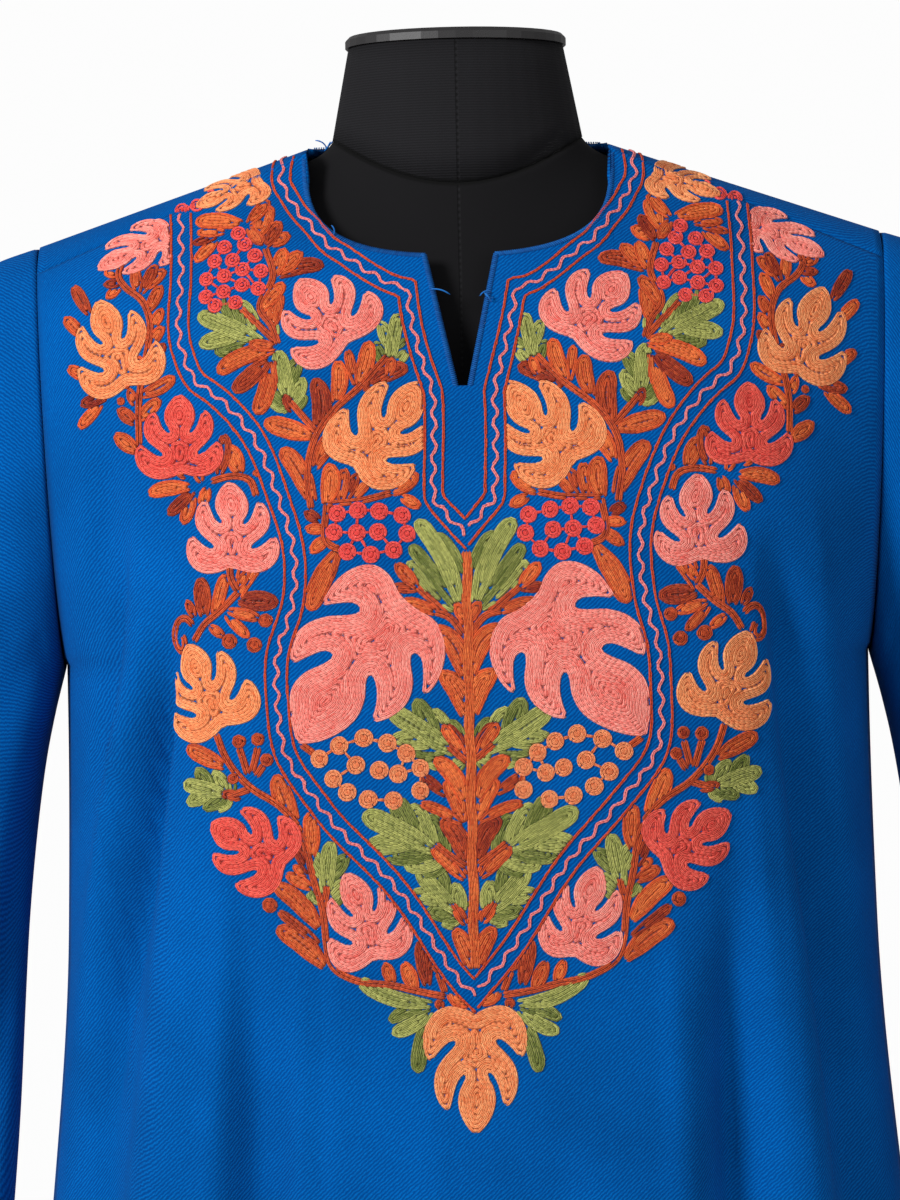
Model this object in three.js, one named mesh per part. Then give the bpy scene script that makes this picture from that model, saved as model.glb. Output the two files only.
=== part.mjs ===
// A pheran, the loose pull-over robe of Kashmir, hanging on a limbless dress form that stands on its own foot.
// Millimetres, +Z up. The robe's front faces -Y, its left sleeve is at +X, and the origin is the middle of the
// stand's foot, on the floor.
import * as THREE from "three";

const { clamp, degToRad, lerp, smoothstep } = THREE.MathUtils;

// ---- Driving sizes ------------------------------------------------------------------------------------------

const WALL = 1.6; // wool twill with its raised nap
const SEAM_GAP = 0.3; // between two pieces that are sewn together

// The armhole is a tall oval in the side of the robe, from the shoulder's ridge down to the underarm. The
// shoulder seam lies in front of the ridge, seamTurn degrees round the oval from its top.
const ARMHOLE = { topX: 215, topZ: 1402, footX: 205, footZ: 1188, halfDepth: 55, seamTurn: 31 };
const NECK_POINT = { across: 77, height: 1445, ridge: 1449 }; // where the neckline meets the shoulder seam
const NECKLINE = { bottom: 1390, roundness: 2.5, corner: 0.28 }; // of the front
const NAPE = { height: 1461, reach: 70, edgeRows: 18 };
const SLIT = { mouth: 17.5, foot: 3, bottom: 1323 }; // half widths at its mouth and its foot
const HEM = { middle: 372, side: 356 };

// ---- The robe's body, as level sections ---------------------------------------------------------------------
// half: half width at the side seam, used below the underarm. front and back: how far the middle of each panel
// stands away from the ridge of the shoulders. (1 - s^bow)^turn is the plan's shape from its middle to its side.
const BODY_ROWS = [
  { height: HEM.side, half: 288, front: 153, back: 151, bow: 2.2, turn: 0.5 },
  { height: 571, half: 264, front: 144, back: 138, bow: 2.2, turn: 0.5 },
  { height: 771, half: 238, front: 135, back: 127, bow: 2.4, turn: 0.5 },
  { height: 911, half: 218, front: 129, back: 118, bow: 2.7, turn: 0.5 },
  { height: 1051, half: 207, front: 127, back: 113, bow: 3.2, turn: 0.52 },
  { height: 1171, half: 205, front: 128, back: 112, bow: 3.7, turn: 0.6 },
  { height: 1226, half: 205, front: 123, back: 111, bow: 3.6, turn: 0.78 },
  { height: 1308, half: 205, front: 103, back: 105, bow: 3.1, turn: 0.96 },
  { height: 1373, half: 205, front: 76, back: 94, bow: 2.6, turn: 1 },
  { height: 1398, half: 205, front: 64, back: 89, bow: 2.4, turn: 1 },
  { height: 1424, half: 205, front: 46, back: 82, bow: 2.3, turn: 1 },
  { height: NECK_POINT.height, half: 205, front: 29, back: 76, bow: 2.2, turn: 1 },
  { height: NAPE.height, half: 205, front: 20, back: NAPE.reach, bow: 2.2, turn: 1 },
];

// A fold runs down a panel from x startX at height startZ to x hemX at the hem. fullZ: where it is deepest.
// reach: its half width. rise: out if above 0, in if below. endZ: where it has gone again, above the hem.
const FRONT_FOLDS = [
  { startX: -96, startZ: 1080, hemX: -128, fullZ: 930, reach: 34, rise: -13 },
  { startX: -138, startZ: 1110, hemX: -214, fullZ: 860, reach: 36, rise: 9 },
  { startX: -146, startZ: 1250, hemX: -262, fullZ: 1090, reach: 22, rise: -12 },
  { startX: -176, startZ: 1310, hemX: -250, fullZ: 1250, reach: 15, rise: -7, endZ: 1130 },
  { startX: -48, startZ: 960, hemX: -72, fullZ: 700, reach: 40, rise: 11 },
  { startX: 2, startZ: 900, hemX: -10, fullZ: 620, reach: 40, rise: -12 },
  { startX: 62, startZ: 980, hemX: 74, fullZ: 720, reach: 42, rise: 12 },
  { startX: 124, startZ: 1110, hemX: 142, fullZ: 950, reach: 27, rise: -14 },
  { startX: 148, startZ: 1140, hemX: 196, fullZ: 960, reach: 23, rise: 9 },
  { startX: 150, startZ: 1270, hemX: 258, fullZ: 1180, reach: 20, rise: -12 },
];
const BACK_FOLDS = [
  { startX: -146, startZ: 1240, hemX: -222, fullZ: 1000, reach: 34, rise: -14 },
  { startX: -98, startZ: 1150, hemX: -156, fullZ: 850, reach: 38, rise: 12 },
  { startX: -44, startZ: 1230, hemX: -84, fullZ: 900, reach: 36, rise: -15 },
  { startX: 4, startZ: 1150, hemX: -6, fullZ: 780, reach: 40, rise: 12 },
  { startX: 50, startZ: 1260, hemX: 84, fullZ: 960, reach: 34, rise: -13 },
  { startX: 100, startZ: 1110, hemX: 160, fullZ: 800, reach: 40, rise: 11 },
  { startX: 144, startZ: 1220, hemX: 226, fullZ: 1020, reach: 34, rise: -14 },
];

// ---- The sleeves, as rings ----------------------------------------------------------------------------------
// A ring spans from the sleeve's outer fold to its underarm seam; depth is its half thickness, front to back.
const SLEEVE_RINGS = [
  { outerX: ARMHOLE.topX, outerZ: ARMHOLE.topZ, innerX: ARMHOLE.footX, innerZ: ARMHOLE.footZ, depth: 55 },
  { outerX: 240, outerZ: 1393, innerX: 212, innerZ: 1161, depth: 56 },
  { outerX: 266, outerZ: 1371, innerX: 218, innerZ: 1129, depth: 54 },
  { outerX: 290, outerZ: 1335, innerX: 223, innerZ: 1093, depth: 50 },
  { outerX: 308, outerZ: 1283, innerX: 227, innerZ: 1053, depth: 46 },
  { outerX: 321, outerZ: 1218, innerX: 230, innerZ: 1009, depth: 43 },
  { outerX: 332, outerZ: 1140, innerX: 233, innerZ: 963, depth: 41 },
  { outerX: 343, outerZ: 1047, innerX: 237, innerZ: 917, depth: 39 },
  { outerX: 353, outerZ: 940, innerX: 242, innerZ: 869, depth: 37 },
];
// A fold runs along the sleeve between two places round the ring, in degrees: 0 is the outer fold, 90 the front
// and 180 the underarm. from and to: the stretch of the sleeve, 0 to 1, and past 1 it runs out at the cuff.
const SLEEVE_FOLDS = [
  { startTurn: 150, endTurn: 62, from: 0.02, to: 0.75, reach: 24, rise: -11 },
  { startTurn: 172, endTurn: 118, from: 0.12, to: 1.2, reach: 22, rise: -9 },
  { startTurn: 112, endTurn: 84, from: 0.25, to: 1.2, reach: 20, rise: 6 },
  { startTurn: 214, endTurn: 290, from: 0.02, to: 0.8, reach: 24, rise: -11 },
  { startTurn: 196, endTurn: 246, from: 0.15, to: 1.2, reach: 22, rise: -9 },
];

// ---- The dress form and its stand ---------------------------------------------------------------------------
// A ring of the form: half width, front and back reach from the shoulder plane, the heights of its side, front
// and back, and square, the roundness of its plan, 2 for an ellipse. fall: how its height changes from the side
// to the front and back, 2 for a gentle start. The robe rests on the tops of the shoulders.
const NECK_SEAM = { half: 64, front: 48, back: 60, side: 1453, fore: 1427, aft: 1464, square: 2, fall: 2 };
const NECK_TOP = { half: 55, front: 44, back: 54, side: 1500, fore: 1500, aft: 1500, square: 2, fall: 2 };
const FORM_RINGS = [
  NECK_SEAM,
  { half: 70, front: 51, back: 62, side: 1445.5, fore: 1411, aft: 1446, square: 2, fall: 1.5 },
  { half: 90, front: 57, back: 68, side: 1439.5, fore: 1389, aft: 1420, square: 1.8, fall: 1.5 },
  { half: 118, front: 64, back: 74, side: underRidge(118), fore: 1366, aft: 1394, square: 1.75, fall: 1.5 },
  { half: 146, front: 73, back: 81, side: underRidge(146), fore: 1340, aft: 1372, square: 1.75, fall: 1.5 },
  { half: 172, front: 84, back: 88, side: underRidge(172), fore: 1310, aft: 1342, square: 1.8, fall: 1.5 },
  { half: 188, front: 94, back: 93, side: 1402, fore: 1282, aft: 1308, square: 1.9, fall: 1.7 },
  { half: 194, front: 102, back: 97, side: 1374, fore: 1254, aft: 1276, square: 1.95, fall: 2 },
  { half: 192, front: 108, back: 100, side: 1348, fore: 1226, aft: 1244, square: 2, fall: 2 },
  { half: 184, front: 111, back: 101, side: 1312, fore: 1200, aft: 1212, square: 2.05, fall: 2 },
  { half: 172, front: 109, back: 98, side: 1266, fore: 1170, aft: 1178, square: 2.1, fall: 2 },
  { half: 160, front: 101, back: 92, side: 1214, fore: 1138, aft: 1142, square: 2.2, fall: 2 },
  { half: 147, front: 90, back: 83, side: 1152, fore: 1098, aft: 1100, square: 2.2, fall: 2 },
  { half: 135, front: 82, back: 75, side: 1086, fore: 1050, aft: 1050, square: 2.2, fall: 2 },
  { half: 134, front: 83, back: 77, side: 1018, fore: 998, aft: 998, square: 2.2, fall: 2 },
  { half: 150, front: 91, back: 91, side: 944, fore: 936, aft: 936, square: 2.3, fall: 2 },
  { half: 166, front: 98, back: 100, side: 872, fore: 872, aft: 872, square: 2.3, fall: 2 },
  { half: 168, front: 99, back: 101, side: 816, fore: 816, aft: 816, square: 2.3, fall: 2 },
  { half: 162, front: 93, back: 95, side: 802, fore: 802, aft: 802, square: 2.3, fall: 2 },
];
const NECK_CAP = { overhang: 1.5, thickness: 6, bevel: 2 };
const POLE = { radius: 15, flangeRadius: 48, flangeThickness: 8, collarRadius: 26, collarHeight: 34 };
const FOOT = { radius: 175, rim: 6, crown: 10 };

// ---- Meshing ------------------------------------------------------------------------------------------------

const FRONT_COLUMNS = { slitFoot: 1, slitSide: 2, neck: 6, shoulder: 10 };
const BACK_COLUMNS = { neck: 6, shoulder: 9 };
const PANEL_ROWS = { overShoulder: 2, yoke: 9, skirt: 14 };
const SLEEVE_COUNTS = { rings: 12, turns: 24 };
const FORM_TURNS = 40;
const LATHE_TURNS = 48;

// ---- Tables read between their rows -------------------------------------------------------------------------

// Reads one column of a table at any place, along a curve that doesn't overshoot the rows.
function reader(rows, key, column) {
  const at = rows.map((r) => r[key]);
  const value = rows.map((r) => r[column]);
  const slope = at.slice(1).map((a, i) => (value[i + 1] - value[i]) / (a - at[i]));
  const tangent = value.map((_, i) => {
    if (i === 0) return slope[0];
    if (i === value.length - 1) return slope[i - 1];
    if (slope[i - 1] * slope[i] <= 0) return 0;
    return (2 * slope[i - 1] * slope[i]) / (slope[i - 1] + slope[i]);
  });
  return (place) => {
    const x = clamp(place, at[0], at.at(-1));
    const next = at.findIndex((a, i) => i > 0 && x <= a);
    const k = next - 1;
    const step = at[next] - at[k];
    const t = (x - at[k]) / step;
    const t2 = t * t;
    const t3 = t2 * t;
    const fromK = (2 * t3 - 3 * t2 + 1) * value[k] + (t3 - 2 * t2 + t) * step * tangent[k];
    return fromK + (3 * t2 - 2 * t3) * value[next] + (t3 - t2) * step * tangent[next];
  };
}

// A function that gives a whole row at any place.
function table(rows, key) {
  const columns = Object.keys(rows[0]).filter((c) => c !== key);
  const read = Object.fromEntries(columns.map((c) => [c, reader(rows, key, c)]));
  return (place) => Object.fromEntries(columns.map((c) => [c, read[c](place)]));
}

const bodyAt = table(BODY_ROWS, "height");

// ---- The robe's panels --------------------------------------------------------------------------------------

function share(value, from, to) {
  return clamp((value - from) / (to - from), 0, 1);
}

function armholeAt(height) {
  const { topX, topZ, footX, footZ, halfDepth } = ARMHOLE;
  const up = share(height, footZ, topZ);
  return { x: lerp(footX, topX, up), y: halfDepth * Math.sqrt(1 - (2 * up - 1) ** 2) };
}

const ARMHOLE_HEIGHT = ARMHOLE.topZ - ARMHOLE.footZ;
const SEAM_TIP_Z = ARMHOLE.topZ - (ARMHOLE_HEIGHT * (1 - Math.cos(degToRad(ARMHOLE.seamTurn)))) / 2;
const SEAM_TIP = armholeAt(SEAM_TIP_Z); // the shoulder seam's end at the armhole; its y is the seam's plane

// The edge of the front at a height, as half width and distance in front of the ridge: the shoulder seam, then
// the armhole, then the side seam.
function frontEdge(height, half) {
  if (height < ARMHOLE.footZ) return { x: half, y: 0 };
  if (height < SEAM_TIP_Z) return armholeAt(height);
  const up = share(height, SEAM_TIP_Z, NECK_POINT.height);
  return { x: lerp(SEAM_TIP.x, NECK_POINT.across, up), y: SEAM_TIP.y };
}

// The edge of the back: the nape's round, then the ridge of the shoulder, the armhole and the side seam.
function backEdge(height, half) {
  if (height < ARMHOLE.footZ) return { x: half, y: 0 };
  if (height < ARMHOLE.topZ) return armholeAt(height);
  if (height < NECK_POINT.ridge) {
    return { x: lerp(ARMHOLE.topX, NECK_POINT.across, share(height, ARMHOLE.topZ, NECK_POINT.ridge)), y: 0 };
  }
  const round = Math.sqrt(share(height, NECK_POINT.ridge, NAPE.height));
  return { x: NECK_POINT.across * Math.sqrt(1 - round * round), y: NAPE.reach * round };
}

function foldRise(folds, x, height) {
  return folds.reduce((sum, f) => {
    const centre = lerp(f.startX, f.hemX, share(height, f.startZ, HEM.middle));
    const off = (x - centre) / (f.reach * lerp(0.8, 1.25, share(height, f.startZ, HEM.middle)));
    if (Math.abs(off) >= 1 || height >= f.startZ) return sum;
    const grown = smoothstep(f.startZ - height, 0, f.startZ - f.fullZ);
    const left = f.endZ ? smoothstep(height, f.endZ, f.fullZ) : 1;
    return sum + (f.rise * grown * left * (1 + Math.cos(Math.PI * off))) / 2;
  }, 0);
}

// How wide the panel's columns spread at a height: side 1 is the armhole and the side seam.
function spreadAt(height) {
  if (height >= ARMHOLE.footZ) return armholeAt(Math.min(height, SEAM_TIP_Z)).x;
  return bodyAt(height).half;
}

// A point of a panel's outer face. side runs from -1 to 1 across it.
function panelPoint(panel, side, height) {
  const row = bodyAt(height);
  const edge = panel.edge(height, row.half);
  const across = Math.abs(side) * spreadAt(height);
  const depthAt = (x) => {
    const s = clamp(x / Math.max(edge.x, 1), 0, 1);
    return edge.y + Math.max(0, row[panel.reach] - edge.y) * (1 - s ** row.bow) ** row.turn;
  };
  const slope = depthAt(across + 1) - depthAt(across - 1);
  const length = Math.hypot(slope, 2);
  const quiet = 1 - smoothstep(Math.abs(side), 0.86, 1);
  const rise = foldRise(panel.folds, Math.sign(side) * across, height) * quiet;
  const x = across - (slope / length) * rise;
  const y = depthAt(across) + (2 / length) * rise + SEAM_GAP / 2;
  return new THREE.Vector3(Math.sign(side) * x, panel.facing * y, height);
}

const FRONT = { reach: "front", edge: frontEdge, folds: FRONT_FOLDS, facing: -1 };
const BACK = { reach: "back", edge: backEdge, folds: BACK_FOLDS, facing: 1 };

// The height of the shoulder seam, x across, and of the ridge behind it.
function seamHeight(x) {
  return lerp(NECK_POINT.height, SEAM_TIP_Z, share(x, NECK_POINT.across, SEAM_TIP.x));
}

function ridgeHeight(x) {
  return lerp(NECK_POINT.ridge, ARMHOLE.topZ, share(x, NECK_POINT.across, ARMHOLE.topX));
}

// The top edge of the front: the slit, then the round of the neckline, then the shoulder seam.
function frontTop(x) {
  if (x > NECK_POINT.across) return seamHeight(x);
  const { bottom, roundness, corner } = NECKLINE;
  const sunk = (a) => (NECK_POINT.height - bottom) * (1 - (a / NECK_POINT.across) ** roundness) ** corner;
  if (x >= SLIT.mouth) return NECK_POINT.height - sunk(x);
  return lerp(SLIT.bottom, NECK_POINT.height - sunk(SLIT.mouth), share(x, SLIT.foot, SLIT.mouth));
}

// The height of the form's shoulder, x across: the wall of the cloth and a hair's gap under the ridge.
function underRidge(x) {
  const steepness = (NECK_POINT.ridge - ARMHOLE.topZ) / (ARMHOLE.topX - NECK_POINT.across);
  return ridgeHeight(x) - (WALL + SEAM_GAP) * Math.hypot(1, steepness);
}

function hemHeight(side) {
  return lerp(HEM.middle, HEM.side, side * side);
}

// Column positions from the middle out, mirrored. Round the neck they bunch up towards the shoulder seam.
function mirrored(half) {
  return [...half.slice(1).reverse().map((v) => -v), ...half];
}

function steps(from, to, count) {
  return Array.from({ length: count }, (_, i) => lerp(from, to, (i + 1) / count));
}

function roundTheNeck(from, count) {
  const turns = steps(Math.asin(from / NECK_POINT.across), Math.PI / 2, count);
  return turns.map((turn) => NECK_POINT.across * Math.sin(turn));
}

function frontGrid() {
  const { slitFoot, slitSide, neck, shoulder } = FRONT_COLUMNS;
  const columns = mirrored([
    0,
    ...steps(0, SLIT.foot, slitFoot),
    ...steps(SLIT.foot, SLIT.mouth, slitSide),
    ...roundTheNeck(SLIT.mouth, neck),
    ...steps(NECK_POINT.across, SEAM_TIP.x, shoulder),
  ]);
  const heightsOf = (x) => {
    const top = frontTop(Math.abs(x));
    const yoke = steps(top, ARMHOLE.footZ, PANEL_ROWS.yoke);
    return [top, ...yoke, ...steps(ARMHOLE.footZ, hemHeight(x / SEAM_TIP.x), PANEL_ROWS.skirt)];
  };
  return columnsToRows(columns.map((x) => heightsOf(x).map((z) => panelPoint(FRONT, x / SEAM_TIP.x, z))));
}

// The back's columns start at the shoulder seam, in front of the ridge, and go over it.
function backGrid() {
  const { neck, shoulder } = BACK_COLUMNS;
  const { overShoulder, yoke, skirt } = PANEL_ROWS;
  const columns = mirrored([0, ...roundTheNeck(0, neck), ...steps(NECK_POINT.across, SEAM_TIP.x, shoulder)]);
  const seamTurn = degToRad(ARMHOLE.seamTurn);
  const over = (x) =>
    steps(seamTurn * (1 + 1 / overShoulder), 0, overShoulder + 1).map((turn) => {
      const sunk = (1 - Math.cos(turn)) / (1 - Math.cos(seamTurn));
      const toSeam = Math.sin(turn) / Math.sin(seamTurn);
      const z = lerp(ridgeHeight(Math.abs(x)), seamHeight(Math.abs(x)), sunk);
      return new THREE.Vector3(x, SEAM_GAP / 2 - SEAM_TIP.y * toSeam, z);
    });
  const offRidge = (top) => steps(0, 1, yoke).map((t) => lerp(top, ARMHOLE.footZ, t ** 1.5)); // closer at its top
  const columnOf = (x) => {
    const side = x / SEAM_TIP.x;
    const a = Math.abs(x);
    const low = steps(ARMHOLE.footZ, hemHeight(side), skirt).map((z) => panelPoint(BACK, side, z));
    if (a >= NECK_POINT.across) {
      const upper = offRidge(ridgeHeight(a)).map((z) => panelPoint(BACK, side, z));
      return [...over(x), ...upper, ...low];
    }
    const round = (a / NECK_POINT.across) ** 2;
    const top = lerp(NAPE.height, NECK_POINT.ridge, round);
    const ridge = top - lerp(NAPE.edgeRows, 3, round);
    const upper = [top, ...steps(top, ridge, overShoulder), ...offRidge(ridge)];
    return [...upper.map((z) => panelPoint(BACK, side, z)), ...low];
  };
  return columnsToRows(columns.map(columnOf));
}

function columnsToRows(columns) {
  return columns[0].map((_, j) => columns.map((column) => column[j]));
}

// ---- Solids from grids --------------------------------------------------------------------------------------

function geometryOf(points, triangles) {
  const made = new THREE.BufferGeometry();
  made.setAttribute("position", new THREE.Float32BufferAttribute(points.flatMap((p) => [p.x, p.y, p.z]), 3));
  made.setIndex(triangles.flat());
  return made;
}

// The unit normals of a grid of rows: the cross product of the way down and the way across. At a seam the
// normal is laid into the seam's plane, so that the two walls that meet there don't cross.
function gridNormals(grid, seamsAt, closed) {
  const n = grid[0].length;
  return grid.map((row, j) =>
    row.map((point, i) => {
      const before = closed ? (i + n - 1) % n : Math.max(0, i - 1);
      const after = closed ? (i + 1) % n : Math.min(n - 1, i + 1);
      const across = new THREE.Vector3().subVectors(row[after], row[before]);
      const above = grid[Math.max(0, j - 1)][i];
      const down = new THREE.Vector3().subVectors(grid[Math.min(grid.length - 1, j + 1)][i], above);
      const normal = down.cross(across).normalize();
      for (const plane of seamsAt(j, i, point)) normal.projectOnPlane(plane);
      return normal.divideScalar(Math.max(normal.length(), 0.35));
    }),
  );
}

// A wall of cloth: the grid is its outer face, and the inner face lies one wall thickness inside. outward is 1
// or -1, so that the normals point out of the garment. closed joins the last column to the first.
function clothWall(grid, outward, seamsAt, closed = false) {
  const normals = gridNormals(grid, seamsAt, closed);
  const rows = grid.length;
  const columns = grid[0].length;
  const inner = grid.flatMap((row, j) =>
    row.map((p, i) => p.clone().addScaledVector(normals[j][i], -outward * WALL)),
  );
  const id = (j, i, face) => face * rows * columns + j * columns + (i % columns);
  const triangles = [];
  const quad = (a, b, c, d) => {
    if (outward > 0) triangles.push([a, b, c], [a, c, d]);
    else triangles.push([a, c, b], [a, d, c]);
  };
  const spans = closed ? columns : columns - 1;
  const lastRow = rows - 1;
  for (let i = 0; i < spans; i++) {
    for (let j = 0; j < lastRow; j++) {
      quad(id(j, i, 0), id(j + 1, i, 0), id(j + 1, i + 1, 0), id(j, i + 1, 0));
      quad(id(j, i, 1), id(j, i + 1, 1), id(j + 1, i + 1, 1), id(j + 1, i, 1));
    }
    quad(id(0, i, 0), id(0, i + 1, 0), id(0, i + 1, 1), id(0, i, 1));
    quad(id(lastRow, i, 0), id(lastRow, i, 1), id(lastRow, i + 1, 1), id(lastRow, i + 1, 0));
  }
  const side = columns - 1;
  for (let j = 0; j < (closed ? 0 : lastRow); j++) {
    quad(id(j, 0, 0), id(j, 0, 1), id(j + 1, 0, 1), id(j + 1, 0, 0));
    quad(id(j, side, 0), id(j + 1, side, 0), id(j + 1, side, 1), id(j, side, 1));
  }
  return geometryOf([...grid.flat(), ...inner], triangles);
}

// The planes of the seams: front to back along the shoulder and the side, and the armhole's own plane.
const SIDE_PLANE = new THREE.Vector3(0, 1, 0);

function armholePlane(sign) {
  const lean = (ARMHOLE.topX - ARMHOLE.footX) / ARMHOLE_HEIGHT;
  return new THREE.Vector3(sign, 0, -lean).normalize();
}

function panelSeams(columnCount) {
  return (j, i, point) => {
    const planes = [];
    const onEdge = i === 0 || i === columnCount - 1;
    if (j === 0 && Math.abs(point.x) >= NECK_POINT.across - 0.01) planes.push(SIDE_PLANE);
    if (onEdge && point.z < ARMHOLE.footZ + 0.01) planes.push(SIDE_PLANE);
    if (onEdge && point.z > ARMHOLE.footZ - 0.01) planes.push(armholePlane(Math.sign(point.x)));
    return planes;
  };
}

function sleeveSeams(sign) {
  return (j) => (j === 0 ? [armholePlane(sign)] : []);
}

// A closed loft through rings that all have the same number of points, with a fan at each end.
function loft(rings, lowHub, highHub) {
  const n = rings[0].length;
  const points = rings.flat();
  const triangles = [];
  for (let j = 0; j < rings.length - 1; j++)
    for (let i = 0; i < n; i++) {
      const [a, b] = [j * n + i, j * n + ((i + 1) % n)];
      triangles.push([a, b, b + n], [a, b + n, a + n]);
    }
  const low = points.push(lowHub) - 1;
  const high = points.push(highHub) - 1;
  const top = (rings.length - 1) * n;
  for (let i = 0; i < n; i++) {
    triangles.push([low, (i + 1) % n, i], [high, top + i, top + ((i + 1) % n)]);
  }
  return geometryOf(points, triangles);
}

// ---- Sleeves ------------------------------------------------------------------------------------------------

function sleeveFold(degrees, along) {
  return SLEEVE_FOLDS.reduce((sum, f) => {
    const t = (along - f.from) / (f.to - f.from);
    const off = (degrees - lerp(f.startTurn, f.endTurn, t)) / f.reach;
    if (t <= 0 || t >= 1 || Math.abs(off) >= 1) return sum;
    return sum + (f.rise * Math.sin(Math.PI * t) * (1 + Math.cos(Math.PI * off))) / 2;
  }, 0);
}

// The rings of a sleeve, from the armhole to the cuff. sign is 1 for the left sleeve and -1 for the right.
function sleeveGrid(sign) {
  const ringAt = table(
    SLEEVE_RINGS.map((r, i) => ({ ...r, along: i / (SLEEVE_RINGS.length - 1) })),
    "along",
  );
  const { rings, turns } = SLEEVE_COUNTS;
  return [0, ...steps(0, 1, rings)].map((along) => {
    const r = ringAt(along);
    const [wide, high] = [(r.outerX - r.innerX) / 2, (r.outerZ - r.innerZ) / 2];
    const half = Math.hypot(wide, high);
    return Array.from({ length: turns }, (_, i) => {
      const degrees = (360 * i) / turns;
      const turn = degToRad(degrees);
      const rise = sleeveFold(degrees, along) * smoothstep(along, 0, 0.12);
      const outwards = Math.cos(turn) * (1 + rise / half);
      const x = r.innerX + wide * (1 + outwards) + SEAM_GAP;
      return new THREE.Vector3(sign * x, -(r.depth + rise) * Math.sin(turn), r.innerZ + high * (1 + outwards));
    });
  });
}

// ---- Dress form ---------------------------------------------------------------------------------------------

// A ring of the form, turning from +X through +Y. outset makes the ring that much larger all round.
function formRing(r, outset = 0, lift = 0) {
  return Array.from({ length: FORM_TURNS }, (_, i) => {
    const turn = (2 * Math.PI * i) / FORM_TURNS;
    const [c, s] = [Math.cos(turn), Math.sin(turn)];
    const isFront = s < 0;
    const reach = isFront ? r.front : r.back;
    const end = isFront ? r.fore : r.aft;
    const round = (v) => Math.sign(v) * Math.abs(v) ** (2 / r.square);
    const x = (r.half + outset) * round(c);
    const y = (reach + outset) * round(s);
    return new THREE.Vector3(x, y, lerp(r.side, end, Math.abs(s) ** r.fall) + lift);
  });
}

function hub(ring) {
  return ring.reduce((sum, p) => sum.add(p), new THREE.Vector3()).divideScalar(ring.length);
}

function lofted(rings) {
  return loft(rings, hub(rings[0]), hub(rings.at(-1)));
}

function torso() {
  return lofted(FORM_RINGS.map((r) => formRing(r)).reverse());
}

function neckBand() {
  return lofted([formRing(NECK_SEAM, 0, SEAM_GAP), formRing(NECK_TOP)]);
}

function neckCap() {
  const { overhang, thickness, bevel } = NECK_CAP;
  return lofted([
    formRing(NECK_TOP, overhang, SEAM_GAP),
    formRing(NECK_TOP, overhang, thickness - bevel),
    formRing(NECK_TOP, overhang - bevel, thickness),
  ]);
}

function turned(profile) {
  const made = new THREE.LatheGeometry(profile.map(([r, z]) => new THREE.Vector2(r, z)), LATHE_TURNS);
  return made.rotateX(Math.PI / 2);
}

function pole() {
  const top = FORM_RINGS.at(-1).side - SEAM_GAP;
  const foot = FOOT.crown + SEAM_GAP;
  const { radius, flangeRadius, flangeThickness, collarRadius, collarHeight } = POLE;
  return turned([
    [0, foot],
    [collarRadius, foot],
    [collarRadius, foot + collarHeight],
    [radius, foot + collarHeight + 4],
    [radius, top - flangeThickness],
    [flangeRadius, top - flangeThickness],
    [flangeRadius, top],
    [0, top],
  ]);
}

function foot() {
  return turned([
    [0, 0],
    [FOOT.radius, 0],
    [FOOT.radius, FOOT.rim],
    [FOOT.radius * 0.6, FOOT.crown],
    [0, FOOT.crown],
  ]);
}

// ---- The assembly -------------------------------------------------------------------------------------------

const WOOL = { color: 0x0062b4, roughness: 0.9, metalness: 0 };
const COVER = { color: 0x1d1c1f, roughness: 0.85, metalness: 0 };
const CAP = { color: 0x161518, roughness: 0.45, metalness: 0 };
const STEEL = { color: 0x202022, roughness: 0.4, metalness: 0.6 };

const group = new THREE.Group();

function add(name, geometry, finish) {
  const mesh = new THREE.Mesh(geometry, new THREE.MeshStandardMaterial(finish));
  mesh.name = name;
  group.add(mesh);
}

const frontRows = frontGrid();
const backRows = backGrid();
add("front", clothWall(frontRows, 1, panelSeams(frontRows[0].length)), WOOL);
add("back", clothWall(backRows, -1, panelSeams(backRows[0].length)), WOOL);
add("sleeve_left", clothWall(sleeveGrid(1), -1, sleeveSeams(1), true), WOOL);
add("sleeve_right", clothWall(sleeveGrid(-1), 1, sleeveSeams(-1), true), WOOL);
add("form_torso", torso(), COVER);
add("form_neck", neckBand(), COVER);
add("form_neck_cap", neckCap(), CAP);
add("stand_pole", pole(), STEEL);
add("stand_foot", foot(), STEEL);

export default group;
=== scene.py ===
import bpy
import math
import numpy as np
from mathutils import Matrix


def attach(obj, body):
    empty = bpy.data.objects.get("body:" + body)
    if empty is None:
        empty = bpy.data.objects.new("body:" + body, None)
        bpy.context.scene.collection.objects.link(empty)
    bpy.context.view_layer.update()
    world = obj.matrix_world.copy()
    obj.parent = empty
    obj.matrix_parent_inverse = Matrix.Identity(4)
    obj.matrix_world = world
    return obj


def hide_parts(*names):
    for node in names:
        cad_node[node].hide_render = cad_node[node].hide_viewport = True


# A pheran, the loose pull-over robe of Kashmir, in blue wool twill with coloured chain-stitch embroidery round
# its neck and down its chest. It hangs on a limbless dress form on a steel stand.
# Tables are in millimetres; meshes are in metres.

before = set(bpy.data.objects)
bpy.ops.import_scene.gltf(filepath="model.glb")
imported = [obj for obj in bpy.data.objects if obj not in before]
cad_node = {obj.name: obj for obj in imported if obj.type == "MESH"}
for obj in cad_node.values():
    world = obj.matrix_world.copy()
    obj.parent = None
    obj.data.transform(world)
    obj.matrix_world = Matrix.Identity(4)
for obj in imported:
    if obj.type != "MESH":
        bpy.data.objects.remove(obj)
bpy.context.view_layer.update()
rng = np.random.default_rng(7)


# ---- The stand: foot and pole --------------------------------------------------------------------------------
# A flat steel foot with a collar, and a steel pole with a flange under the form. Turned and powder coated in
# black; they keep the solids' own shapes.

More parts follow.
